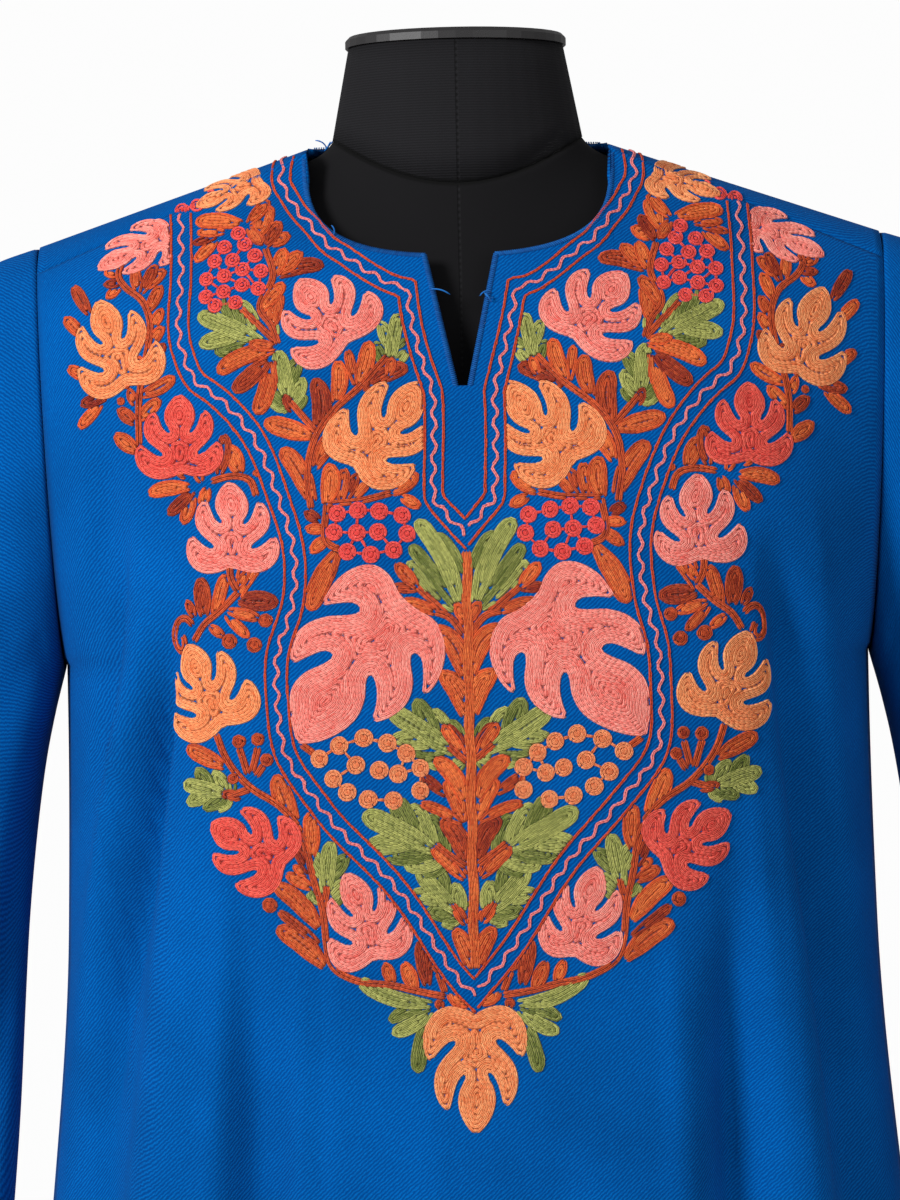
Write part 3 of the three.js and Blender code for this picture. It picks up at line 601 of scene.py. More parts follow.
for sign, side_name in ((1, "left"), (-1, "right")):
    sleeve = cloth_shell(f"robe_sleeve_{side_name}", sleeve_grid(sign), True, -sign)
    wear(sleeve, WOOL, "wool", f"sleeve_{side_name}")


# ---- The neck edge -------------------------------------------------------------------------------------------
# The raw edge of the neck and slit is turned under and bound with close slanting stitches of the robe's own
# blue yarn, about 2 mm deep. A few yarn ends stand loose at the slit and where the nape meets the shoulder.

STITCH_GAP, YARN_RADIUS, END_RADIUS = 1.05, 0.46, 0.36
# how far into the cloth, how high over it and how far along the edge a stitch is, from its foot to the edge
BINDING_STITCH = [(2.0, 0.02, 1.3), (1.5, 0.22, 0.9), (0.9, 0.32, 0.5), (0.3, 0.32, 0.15)]
# x, height, direction in degrees and length of each loose yarn end
LOOSE_ENDS = [(-68, 1451, 66, 10), (-67.5, 1451.5, 92, 8), (-69, 1450.5, 40, 6), (-63, 1401, 60, 5),
              (-15, 1372, 5, 10), (15, 1370, 150, 6), (16, 1367, 190, 5), (15, 1365, 120, 5)]


def on_cloth(x, z):
    """Where the point x across and z high, seen from the front, lies on the front or over the shoulder."""
    x, z = np.asarray(x, float), np.asarray(z, float)
    a = np.abs(x)
    seam, ridge = seam_height(a), ridge_height(a)
    low = np.minimum(z, seam)
    point = on_front(x / spread_at(low), low)
    sunk = share(ridge - z, 0, ridge - seam)
    over = over_shoulder(x, np.arccos(1 - sunk * (1 - math.cos(SEAM_TURN))))
    behind_z = np.minimum(2 * ridge - z, ridge)
    behind = on_back(x / spread_at(behind_z), behind_z)
    outside = (a >= NECK_ACROSS - 0.5)[..., None]
    point = np.where(outside & (z > seam)[..., None], over, point)
    return np.where(outside & (z > ridge)[..., None], behind, point)


def unit(v):
    return v / np.maximum(np.linalg.norm(v, axis=-1, keepdims=True), 1e-9)


def left_of(way):
    return np.stack([-way[:, 1], way[:, 0]], 1)


def outward_at(x, z):
    across = on_cloth(x + 0.6, z) - on_cloth(x - 0.6, z)
    up = on_cloth(x, z + 0.6) - on_cloth(x, z - 0.6)
    return unit(np.cross(across, up))


def yarns(name, paths, normals, radius, finish):
    """Round yarns of four sides along paths of points, each path with one normal."""
    count, length = paths.shape[:2]
    tangent = unit(np.gradient(paths, axis=1))
    side = unit(np.cross(tangent, normals[:, None, :] + 0 * tangent))
    up = np.cross(side, tangent)
    taper = radius * np.clip(np.sin(np.linspace(0.12, 0.88, length) * np.pi) * 1.6, 0.3, 1)[None, :, None]
    ring = np.stack([paths + side * taper, paths + up * taper, paths - side * taper, paths - up * taper], 2)
    k = np.arange(4)
    quads = np.stack([k, (k + 1) % 4, (k + 1) % 4 + 4, k + 4], 1)
    along = (quads[None] + 4 * np.arange(length - 1)[:, None, None]).reshape(-1, 4)
    one = np.vstack([along, [3, 2, 1, 0], 4 * length - 4 + k])
    faces = (one[None] + 4 * length * np.arange(count)[:, None, None]).reshape(-1, 4)
    tints = np.repeat(rng.uniform(0.1, 0.9, count), 4 * length)
    wear(new_piece(name, ring, faces.tolist(), tints), finish, "wool")


def srgb(*parts):
    """A dye's colour on the usual 0 to 255 scale, as the linear values that a shader takes."""
    return tuple((p / 255 / 12.92) if p < 11 else ((p / 255 + 0.055) / 1.055) ** 2.4 for p in parts)


def plied(tree, given):
    """Fine plied fibres along a thread, whose tone goes with its own tint and a little with the dye."""
    fibre, dye = noise(tree, given["Vector"], 1500.0, 3.0), noise(tree, given["Vector"], 90.0, 2.0)
    own = maths(tree, "MULTIPLY_ADD", fibre, 0.5, given["Tint"])
    amount = ranged(tree, maths(tree, "MULTIPLY_ADD", dye, 0.35, own), 0.3, 1.5, 0.0, 1.0)
    return {"Base Color": blend(tree, amount, given["Dark"], given["Light"]),
            "Normal": bumped(tree, fibre, 0.4, 0.0002)}


PLIED_THREAD = effect("plied_thread", ("Tint",), plied)


def thread_finish(name, dark, light, sheen=0.06):
    finish, tree, shader = new_finish(name, light, 0.78, specular=0.3, sheen=sheen)
    tint = add_node(tree, "ShaderNodeAttribute", attribute_name="tint").outputs["Fac"]
    use_effect(tree, shader, PLIED_THREAD, dark, light, tint=tint)
    return finish


def spaced(points, gap):
    """The same polyline with its points a fixed gap apart, and the way it runs at each."""
    points = np.asarray(points, float)
    length = np.concatenate([[0], np.cumsum(np.linalg.norm(np.diff(points, axis=0), axis=1))])
    at = np.linspace(0, length[-1], max(2, int(round(length[-1] / gap)) + 1))
    out = np.stack([np.interp(at, length, points[:, k]) for k in range(points.shape[1])], 1)
    return out, unit(np.gradient(out, axis=0))


def bound_edge(points, panel, facing, inward_turn):
    """Stitches over an edge: up the face on a slant, over the edge and a little way down behind it."""
    edge, way = spaced(points, STITCH_GAP)
    inward = left_of(way) * inward_turn

    def place(deep, along=0.0, lift=0.0):
        x, z = (edge + inward * deep + way * along).T
        side = x / spread_at(z)
        across = panel(side + 0.004, z) - panel(side - 0.004, z)
        up = panel(side, z + 0.6) - panel(side, z - 0.6)
        return panel(side, z) + unit(np.cross(across, up) * facing) * np.reshape(lift, (-1, 1))

    paths = [place(deep, slant, lift + rng.uniform(-0.06, 0.06, len(edge))) for deep, lift, slant in BINDING_STITCH]
    crest = place(0.1)
    out = unit(paths[2] - place(0.9, 0.5))
    into = unit(place(2) - crest)
    behind = [crest - into * 0.7 - out * 0.7, crest - into * 0.1 - out * 2.1, crest + into * 2.6 - out * 2.3]
    return np.stack(paths + behind, 1), out


BLUE_YARN = thread_finish("blue_yarn", (0.0, 0.06, 0.26), (0.0, 0.12, 0.42), sheen=0.0)
bound = []
for sign in (1, -1):
    x = np.concatenate([[SLIT_FOOT], steps(SLIT_FOOT, SLIT_MOUTH, 12),
                        neck_steps(math.asin(SLIT_MOUTH / NECK_ACROSS), math.pi / 2 * 0.995, 60)])
    bound.append(bound_edge(np.stack([x * sign, front_top(x)], 1), on_front, 1, -sign))
x = np.linspace(-74, 74, 90)
bound.append(bound_edge(np.stack([x, lerp(NAPE_HEIGHT, NECK_RIDGE, (x / NECK_ACROSS) ** 2)], 1), on_back, -1, -1))
paths, normals = (np.concatenate(parts) for parts in zip(*bound))
yarns("neck_edge_binding", paths, normals, YARN_RADIUS, BLUE_YARN)

loose = []
for x, z, turn, reach in LOOSE_ENDS:
    along = np.linspace(0, 1, 8)
    bend = math.radians(turn) + along * rng.uniform(-0.9, 0.9)
    nape = NAPE_REACH * math.sqrt(share(z, NECK_RIDGE, NAPE_HEIGHT))
    y = nape if z > NECK_RIDGE else on_front(np.array([x / SEAM_TIP_X]), np.array([z]))[0][1]
    loose.append(np.stack([x + reach * along * np.cos(bend), y - 0.8 - 2.2 * np.sin(along * 2.6),
                           z + reach * along * np.sin(bend)], 1))
yarns("loose_yarn_ends", np.stack(loose), np.tile((0.0, -1.0, 0.0), (len(loose), 1)), END_RADIUS,
      thread_finish("loose_blue_yarn", (0.0, 0.11, 0.42), (0.0, 0.20, 0.66)))


# ---- The border lines ----------------------------------------------------------------------------------------
# Single rows of chain stitch worked with a hook. Two rust rows with a pink wave between them run round the neck
# and slit, and again from the shoulders down to a point at the waist, in the outline of a vase.

# how far along a stitch each of its two bends is, how far out, how thick the thread and how high it stands
LOOP_BENDS = [(0.17, 0.36, 0.4, 0.4), (0.8, 0.4, 0.4, 0.44)]


def hand(points, side):
    """The same line on the left or the right, with the small wandering of hand work."""
    x, z = points[:, 0], points[:, 1]
    drift = 0.5 * np.sin(z / 13 + 1.7 * side) + 0.35 * np.sin(x / 9 - side)
    return np.stack([side * (x + drift * share(x, 0, 6)), z + 0.5 * np.sin(x / 11 + 2.1 * side)], 1)


def on_side(rows, side, base=0.0, slope=1.0):
    """A motif's rows on the left or the right, each with a tint that is worked out from its own."""
    return [(hand(points, side), base + slope * tint, reach) for points, tint, reach in rows]


def at_lengths(length, line, places):
    return np.stack([np.interp(places, length, column) for column in line.T], 1)


def chain_stitch(name, rows, finish, advance=2.8, length=4.2, width=1.0):
    """Rows of chain stitch on the cloth, each with its points, tint and reach; a stitch is a loop of two legs."""
    fine = [spaced(points, 0.8)[0] for points, _, _ in rows]
    placed = np.split(on_cloth(*np.concatenate(fine).T), np.cumsum([len(f) for f in fine])[:-1])
    made = []
    for flat, line, (_, tint, reach) in zip(fine, placed, rows):
        run = np.concatenate([[0], np.cumsum(np.linalg.norm(np.diff(line, axis=0), axis=1))])
        count = max(1, int(round(run[-1] / advance)))
        s0 = np.maximum((np.arange(count) + rng.uniform(-0.45, 0)) * run[-1] / count, 0)
        s1 = np.minimum(s0 + run[-1] / count * length / advance, run[-1] + 0.2)
        made.append((at_lengths(run, line, s0), at_lengths(run, line, s1), at_lengths(run, flat, (s0 + s1) / 2),
                     tint + 0.07 * np.sin(s0 / 6 + rng.uniform(0, 6)), np.full(count, reach)))
    start, end, middle, tints, reaches = (np.concatenate(parts) for parts in zip(*made))
    count, normal, way = len(start), outward_at(*middle.T), end - start
    tangent = unit(way)
    side = unit(np.cross(normal, tangent))
    up = np.cross(tangent, side)
    up *= np.sign((up * normal).sum(1, keepdims=True))
    wobble = rng.normal(0, 0.09, (count, 2))
    points, shades = [], []
    for leg, sway in ((-1, wobble[:, :1]), (1, wobble[:, 1:])):
        rings = [start + up * 0.25 + side * leg * 0.15]
        for t, out, fat, lift in LOOP_BENDS:
            centre = start + way * t + side * (leg * out * width + sway) + up * lift
            thick, low = side * fat * width, up * 0.2
            rings += [centre + thick - low, centre + up * 0.42, centre - thick - low]
        points.append(np.stack([*rings, end + up * 0.4 + side * leg * 0.12], 1).reshape(-1, 3))
        shades.append(np.repeat(np.clip(tints + rng.normal(0, 0.16, count), 0, 1), 8))
    k = np.arange(3)
    following = (k + 1) % 3
    bands = np.stack([1 + k, 1 + following, 4 + following, 4 + k], 1)
    ends = np.vstack([np.stack([0 * k, 1 + following, 1 + k], 1), np.stack([0 * k + 7, 4 + k, 4 + following], 1)])
    legs = 8 * np.arange(2 * count)[:, None, None]
    # the thread under the loop, which fills the ground; its tint is set darker than the loops' as painted shade
    # between the rows
    broad, low = side * reaches[:, None] * width, up * 0.12
    near, far = start + way * 0.22, start + way * 0.78
    shaded_pad = np.stack([start - way * 0.12, near - broad + low, far - broad + low, end + way * 0.12,
                    far + broad + low, near + broad + low, (start + end) / 2 + up * 0.42], 1)
    six = np.arange(6)
    crown = np.stack([six, (six + 1) % 6, 0 * six + 6], 1)
    shaded_pads = 16 * count + 7 * np.arange(count)[:, None, None]
    faces = [bands + legs, ends + legs, crown + shaded_pads, six[::-1] + shaded_pads]
    # the pad is tinted darker than its loops: painted shade between the rows and legs
    shades.append(np.repeat(np.clip(tints - 0.14, 0, 1), 7))
    wear(new_piece(name, np.concatenate([*points, shaded_pad.reshape(-1, 3)]),
                   [face for part in faces for face in part.reshape(-1, part.shape[-1]).tolist()],
                   np.concatenate(shades)), finish, "wool")


CHEST_CORNER, CELLS = (-230, 930), (920, 1100)
worked = np.zeros(CELLS, bool)  # half-millimetre cells of the chest that already carry stitches


def work(motif, rows, room=3):
    """Adds the rows of a motif wherever the ground is still bare, and marks it as worked."""
    cells = []
    for points, tint, reach in motif:
        fine, _ = spaced(points, 0.5)
        cell = np.clip(((fine - CHEST_CORNER) * 2).astype(int), 2, np.array(CELLS) - 3)
        bare = ~worked[cell[:, 0], cell[:, 1]]
        for first, last in np.flatnonzero(np.diff(np.concatenate([[0], bare, [0]]).astype(int))).reshape(-1, 2):
            if last - first > 3:
                rows.append((fine[max(first - 2, 0):last + 2], tint, reach))  # tucked under its neighbour
        cells.append(cell)
    cells = np.concatenate(cells)
    for i in range(-2, 3):
        for j in range(-2, 3):
            if i * i + j * j < room:
                worked[cells[:, 0] + i, cells[:, 1] + j] = True


def smooth_line(points, gap=1.0):
    """A curve through a few points, which rounds each of them."""
    points = np.asarray(points, float)
    length = np.concatenate([[0], np.cumsum(np.linalg.norm(np.diff(points, axis=0), axis=1))])
    at = np.linspace(0, length[-1], max(2, int(length[-1] / gap)))
    tangent = np.gradient(points, length, axis=0)
    k = np.clip(np.searchsorted(length, at) - 1, 0, len(points) - 2)
    step = (length[k + 1] - length[k])[:, None]
    return curve((at - length[k])[:, None] / step, step, points[k], tangent[k], points[k + 1], tangent[k + 1])


def beside(points, off):
    """A line a fixed distance beside another one, run on straight to the middle; crossings are left out."""
    fine, way = spaced(points, 1.0)
    moved = fine + left_of(way) * off
    near = np.linalg.norm(moved[:, None] - fine[None], axis=2).min(1)
    kept = moved[(near > abs(off) - 0.25) & (moved[:, 0] > 0.3)]
    run = kept[-1] - kept[-6]
    return np.vstack([kept, kept[-1] + run * kept[-1, 0] / max(-run[0], 1e-6)])


def waved(points, period=11.0, rise=1.5):
    fine, way = spaced(points, 0.6)
    turn = 0.6 * np.arange(len(fine)) * 2 * math.pi / period
    swing = rise * (np.sin(turn) - 0.12 * np.sin(3 * turn))
    return fine + left_of(way) * swing[:, None]


def on_ground(points):
    """Leaves out the points that would hang over the neck edge."""
    a = np.abs(points[:, 0])
    return points[(a > NECK_ACROSS + 0.8) | (points[:, 1] < front_top(np.minimum(a, NECK_ACROSS)) - 0.8)]


VASE_LINE = [(146, 1416), (145.6, 1385), (144, 1344), (136, 1325), (125, 1316), (109, 1297), (97.5, 1271),
             (90, 1243), (91, 1219), (98, 1194), (99, 1172), (96, 1143), (77, 1115), (45, 1078), (12, 1031),
             (0, 1017)]
NECK_LINE = [(83, 1444.5), (84.5, 1437), (84.3, 1430), (82, 1426), (77.5, 1418), (70.8, 1410), (61.8, 1399),
             (56.3, 1395), (40.4, 1383), (32, 1378.5), (23, 1377), (20, 1358), (15, 1337), (10.2, 1321),
             (10.2, 1269), (0, 1257)]
VASE_BAND, NECK_BAND = -10.5, 9.4  # from the outer row to the inner one
vase = smooth_line(VASE_LINE)
neck_run = np.vstack([smooth_line(NECK_LINE[:11]), smooth_line(NECK_LINE[10:14]), smooth_line(NECK_LINE[13:15]),
                      NECK_LINE[15:]])
RUST_LINE = thread_finish("rust_line_thread", srgb(176, 44, 20), srgb(232, 92, 42))
PINK_WAVE = thread_finish("pink_wave_thread", srgb(214, 96, 96), srgb(246, 150, 150))
lines, waves = [], []
for side in (-1, 1):
    for run in (vase, beside(vase, VASE_BAND), neck_run, beside(neck_run, NECK_BAND)):
        work([(on_ground(hand(run, side)), 0.5, 0.5)], lines, 6)
    for run, off in ((vase, VASE_BAND / 2), (neck_run, NECK_BAND / 2)):
        work([(on_ground(hand(waved(beside(run, off)), side)), 0.6, 0.6)], waves, 6)
    for run, reach in ((vase, -10), (neck_run, 9)):  # no motif crosses the border
        work([(hand(beside(run, off), side), 0, 0) for off in np.sign(reach) * np.arange(1, abs(reach), 1.2)], [], 6)
chain_stitch("border_lines", lines, RUST_LINE, advance=2.3, length=3.2, width=0.85)
chain_stitch("border_waves", waves, PINK_WAVE, advance=2.05, length=2.9, width=1.0)


# ---- The leaves ----------------------------------------------------------------------------------------------
# Broad leaves of five rounded lobes, filled with rows of chain stitch that follow the outline inwards. Pink,
# orange and red crewel wool, paler at the edge than in the middle.

ROW_GAP = 1.45
# half of the outline of a leaf of length 1 that points up, from its tip to its base, in runs between points
LEAF_OUTLINE = [[(0.0, 1.02), (0.09, 0.95), (0.165, 0.84), (0.19, 0.72), (0.15, 0.61), (0.1, 0.54), (0.105, 0.51),
                 (0.15, 0.53), (0.21, 0.61), (0.245, 0.71), (0.28, 0.83)],
                [(0.28, 0.83), (0.37, 0.75), (0.42, 0.62), (0.4, 0.49), (0.31, 0.38), (0.21, 0.3), (0.18, 0.26),
                 (0.23, 0.25), (0.33, 0.305), (0.47, 0.44)],
                [(0.47, 0.44), (0.52, 0.32), (0.515, 0.18), (0.44, 0.06), (0.31, -0.01), (0.18, -0.01),
                 (0.07, 0.02), (0.0, 0.05)]]
# the whole outline of a large leaf, whose lobes fall unevenly
LARGE_LEAF_OUTLINE = [
    [(0.0, 1.03), (0.09, 0.95), (0.17, 0.84), (0.215, 0.7), (0.19, 0.57), (0.14, 0.48), (0.14, 0.44),
     (0.195, 0.47), (0.26, 0.56), (0.3, 0.69)],
    [(0.3, 0.69), (0.38, 0.59), (0.41, 0.46), (0.37, 0.34), (0.29, 0.25), (0.27, 0.2), (0.32, 0.19), (0.4, 0.27),
     (0.47, 0.4)],
    [(0.47, 0.4), (0.49, 0.28), (0.47, 0.16), (0.4, 0.04), (0.28, -0.03), (0.14, -0.02), (0.02, -0.03),
     (-0.1, -0.09), (-0.21, -0.09), (-0.29, -0.02), (-0.34, 0.1), (-0.34, 0.28)],
    [(-0.34, 0.28), (-0.25, 0.2), (-0.15, 0.15), (-0.11, 0.17), (-0.15, 0.22), (-0.25, 0.29), (-0.34, 0.4),
     (-0.36, 0.53), (-0.28, 0.66)],
    [(-0.28, 0.66), (-0.22, 0.55), (-0.14, 0.46), (-0.095, 0.46), (-0.12, 0.54), (-0.18, 0.63), (-0.205, 0.75),
     (-0.14, 0.89), (0.0, 1.03)]]
# colour, base, tip, width over length, lean and flatness
LEAVES = [("pink", (54, 1344), (81, 1380), 1.12, 0.02, 1.0), ("orange", (56, 1282), (20, 1325), 0.86, -0.03, 1.0),
          ("red", (139, 1281), (140, 1323), 1.04, 0.03, 1.0), ("pink", (115, 1233), (114, 1278), 1.0, -0.02, 1.0),
          ("orange", (119, 1156), (137, 1200), 0.98, 0.03, 1.0), ("red", (90, 1089), (127, 1112), 1.0, 0.02, 1.0),
          ("pink", (48, 1041), (61, 1087), 0.86, -0.02, 1.0), ("orange", (165, 1325), (181, 1372), 0.9, 0.0, 1.0),
          ("pink", (144, 1406), (184, 1387), 0.9, 0.0, 0.6), ("orange", (98, 1432), (134, 1419), 0.9, 0.0, 0.6)]
LEAF_THREADS = {"pink": (srgb(226, 84, 72), srgb(255, 178, 164)),
                "orange": (srgb(222, 104, 46), srgb(255, 184, 126)),
                "red": (srgb(200, 38, 34), srgb(252, 118, 100))}


def rounded_runs(runs, size):
    return np.vstack([smooth_line(np.array(run) * size, 0.8) for run in runs])


def leaf_outline(size, wide, lean):
    half = rounded_runs(LEAF_OUTLINE, size)
    whole = np.vstack([half, half[::-1] * (-0.96, 0.97)]) * (wide, 1)
    whole[:, 0] += lean * np.sin(whole[:, 1] / size * 3.1) * size
    return whole


def depth_field(outline, gap=0.7):
    """How far each place of a grid lies from an outline, below 0 inside it."""
    low, high = outline.min(0) - 1.5, outline.max(0) + 1.5
    x, y = np.meshgrid(np.arange(low[0], high[0], gap), np.arange(low[1], high[1], gap))
    near, inside = np.full(x.shape, 99.0), np.zeros(x.shape, bool)
    for (ax, ay), (bx, by) in zip(outline, np.roll(outline, -1, 0)):
        run = (bx - ax) ** 2 + (by - ay) ** 2
        if run < 1e-9:
            continue
        t = np.clip(((x - ax) * (bx - ax) + (y - ay) * (by - ay)) / run, 0, 1)
        near = np.minimum(near, np.hypot(x - ax - t * (bx - ax), y - ay - t * (by - ay)))
        if ay != by:
            inside ^= ((ay > y) != (by > y)) & (x < (bx - ax) * (y - ay) / (by - ay) + ax)
    return x, y, np.where(inside, -near, near)


def level_rows(x, y, field, level):
    """The lines of a grid along which the field has one level."""
    inside = field < level
    links = {}

    def crossing(a, b):
        t = (level - field[a]) / (field[b] - field[a])
        return (x[a] + t * (x[b] - x[a]), y[a] + t * (y[b] - y[a]))

    mixed = inside[:-1, :-1].astype(int) + inside[1:, :-1] + inside[:-1, 1:] + inside[1:, 1:]
    for j, i in zip(*np.nonzero((mixed > 0) & (mixed < 4))):
        corners = [(j, i), (j, i + 1), (j + 1, i + 1), (j + 1, i)]
        cut = [tuple(sorted((corners[k], corners[(k + 1) % 4]))) for k in range(4)
               if inside[corners[k]] != inside[corners[(k + 1) % 4]]]
        for a, b in zip(cut[::2], cut[1::2]):
            links.setdefault(a, []).append(b)
            links.setdefault(b, []).append(a)
    found = []
    while links:
        here = next(iter(links))
        line = [here]
        while links.get(here):
            following = links[here].pop()
            links[following].remove(here)
            if not links[here]:
                del links[here]
            here = following
            line.append(here)
        links.pop(here, None)
        if len(line) > 3:
            found.append(np.array([crossing(*edge) for edge in line]))
    return found


def filled(outline):
    """Rows that follow an outline inwards, each with its tint and how far its thread reaches to the sides."""
    x, y, field = depth_field(outline)
    deepest, rows = field.min(), []
    for level in np.arange(-0.8, deepest, -ROW_GAP):
        for line in level_rows(x, y, field, level):
            if math.dist(line[0], line[-1]) < 0.01:  # a closed row starts anywhere and laps over its own start
                line = np.roll(line[:-1], -int(rng.uniform(0, len(line) - 1)), axis=0)
                line = np.vstack([line, line[:4]])
            rows.append((line, 0.62 - 0.3 * level / deepest, 0.95 if level > -1 else 1.5))
    return rows


def laid(rows, base, tip, flat=1.0):
    """Motif rows turned and moved so that the motif runs from its base to its tip on the cloth."""
    base, tip = np.array(base, float), np.array(tip, float)
    up = (tip - base) / np.linalg.norm(tip - base)
    right = np.array([up[1], -up[0]])
    return [(base + np.outer(p[:, 0], right * (1, flat)) + np.outer(p[:, 1], up), *kept) for p, *kept in rows]


leaf_work = {colour: [] for colour in LEAF_THREADS}
drawn = [("pink", laid(filled(rounded_runs(LARGE_LEAF_OUTLINE, 83)), (36, 1219), (83, 1152)))]
for colour, base, tip, wide, lean, flat in LEAVES:
    drawn.append((colour, laid(filled(leaf_outline(math.dist(base, tip), wide, lean)), base, tip, flat)))
for side in (-1, 1):
    for colour, rows in drawn:
        work(on_side(rows, side), leaf_work[colour])
work(laid(filled(leaf_outline(62, 0.8, 0.0)), (0, 1019), (0, 957)), leaf_work["orange"])
for colour, rows in leaf_work.items():
    chain_stitch(f"leaves_{colour}", rows, thread_finish(f"{colour}_leaf_thread", *LEAF_THREADS[colour]))


# ---- The berries ---------------------------------------------------------------------------------------------
# Bunches of small round berries, each a coil of chain stitch 8 to 10 mm across, joined by short stalks. Red in
# the upper bunches and orange in the lower one.

RED_BERRIES = [(111, 1403), (118, 1396), (108, 1397), (103, 1391), (123, 1389), (114, 1389), (127, 1380),
               (118, 1381), (109, 1384), (100, 1383), (127, 1371), (118, 1373), (109, 1376), (101, 1374),
               (122, 1366), (112, 1367)]
WIDE_RED_BERRIES = [(62, 1261), (52, 1262), (42, 1261), (31, 1259), (64, 1252), (53, 1251), (43, 1251), (29, 1250),
                    (58, 1242), (47, 1240), (36, 1242)]
SHOULDER_BERRIES = [(140, 1418), (132, 1420), (125, 1424)]
ORANGE_BERRIES = [(74, 1142), (64, 1148), (52, 1151), (41, 1148), (32, 1143), (25, 1136), (67, 1132), (56, 1138),
                  (45, 1135), (36, 1133), (25, 1125), (60, 1125), (50, 1121), (38, 1120)]
STALK_REACH = 13.0


def berry(x, z, radius):
    turn = np.linspace(0, 2 * math.pi, 20)
    coils = [(np.stack([x + r * np.cos(turn + r), z + r * np.sin(turn + r)], 1), 0.6 - 0.2 * (r < radius / 2),
              0.85 if r > radius / 2 else 1.2) for r in np.arange(radius - 0.75, 0.7, -1.25)]
    return coils + [(np.array([(x - 0.8, z), (x + 0.8, z + 0.1)]), 0.3, 1.0)]


def stalks(berries, radius):
    """Short straight rows from berry to berry, left out here and there, as in hand work."""
    made = []
    for k, spot in enumerate(berries):
        for other in berries[:k]:
            far = math.dist(other, spot)
            if 2 * radius < far < STALK_REACH and (k + other[0]) % 4:
                ends = np.array([other, spot], float)
                trim = (ends[1] - ends[0]) * (radius - 0.5) / far
                made.append((ends + [trim, -trim], 0.3, 0.7))
    return made


RED_THREAD = thread_finish("red_berry_thread", srgb(206, 40, 40), srgb(255, 104, 96))
ORANGE_THREAD = thread_finish("orange_berry_thread", srgb(216, 96, 46), srgb(255, 176, 122))
for name, bunch, radius, thread in (("red_berries_high", RED_BERRIES, 4.1, RED_THREAD),
                                    ("red_berries_low", WIDE_RED_BERRIES, 4.6, RED_THREAD),
                                    ("red_berries_shoulder", SHOULDER_BERRIES, 4.1, RED_THREAD),
                                    ("orange_berries", ORANGE_BERRIES, 4.8, ORANGE_THREAD)):
    rows = []
    for side in (-1, 1):
        for x, z in bunch:
            work(on_side(berry(x, z, radius), side), rows)
        rows += on_side(stalks(bunch, radius), side)
    chain_stitch(name, rows, thread, advance=1.85, length=2.7, width=0.85)


# ---- The rust sprays -----------------------------------------------------------------------------------------
# Stems, narrow petals and round buds in rust wool fill the ground between the leaves. A petal is a loop with
# orange rows inside, and every fourth one is dark red all through; the main stem runs down the middle.

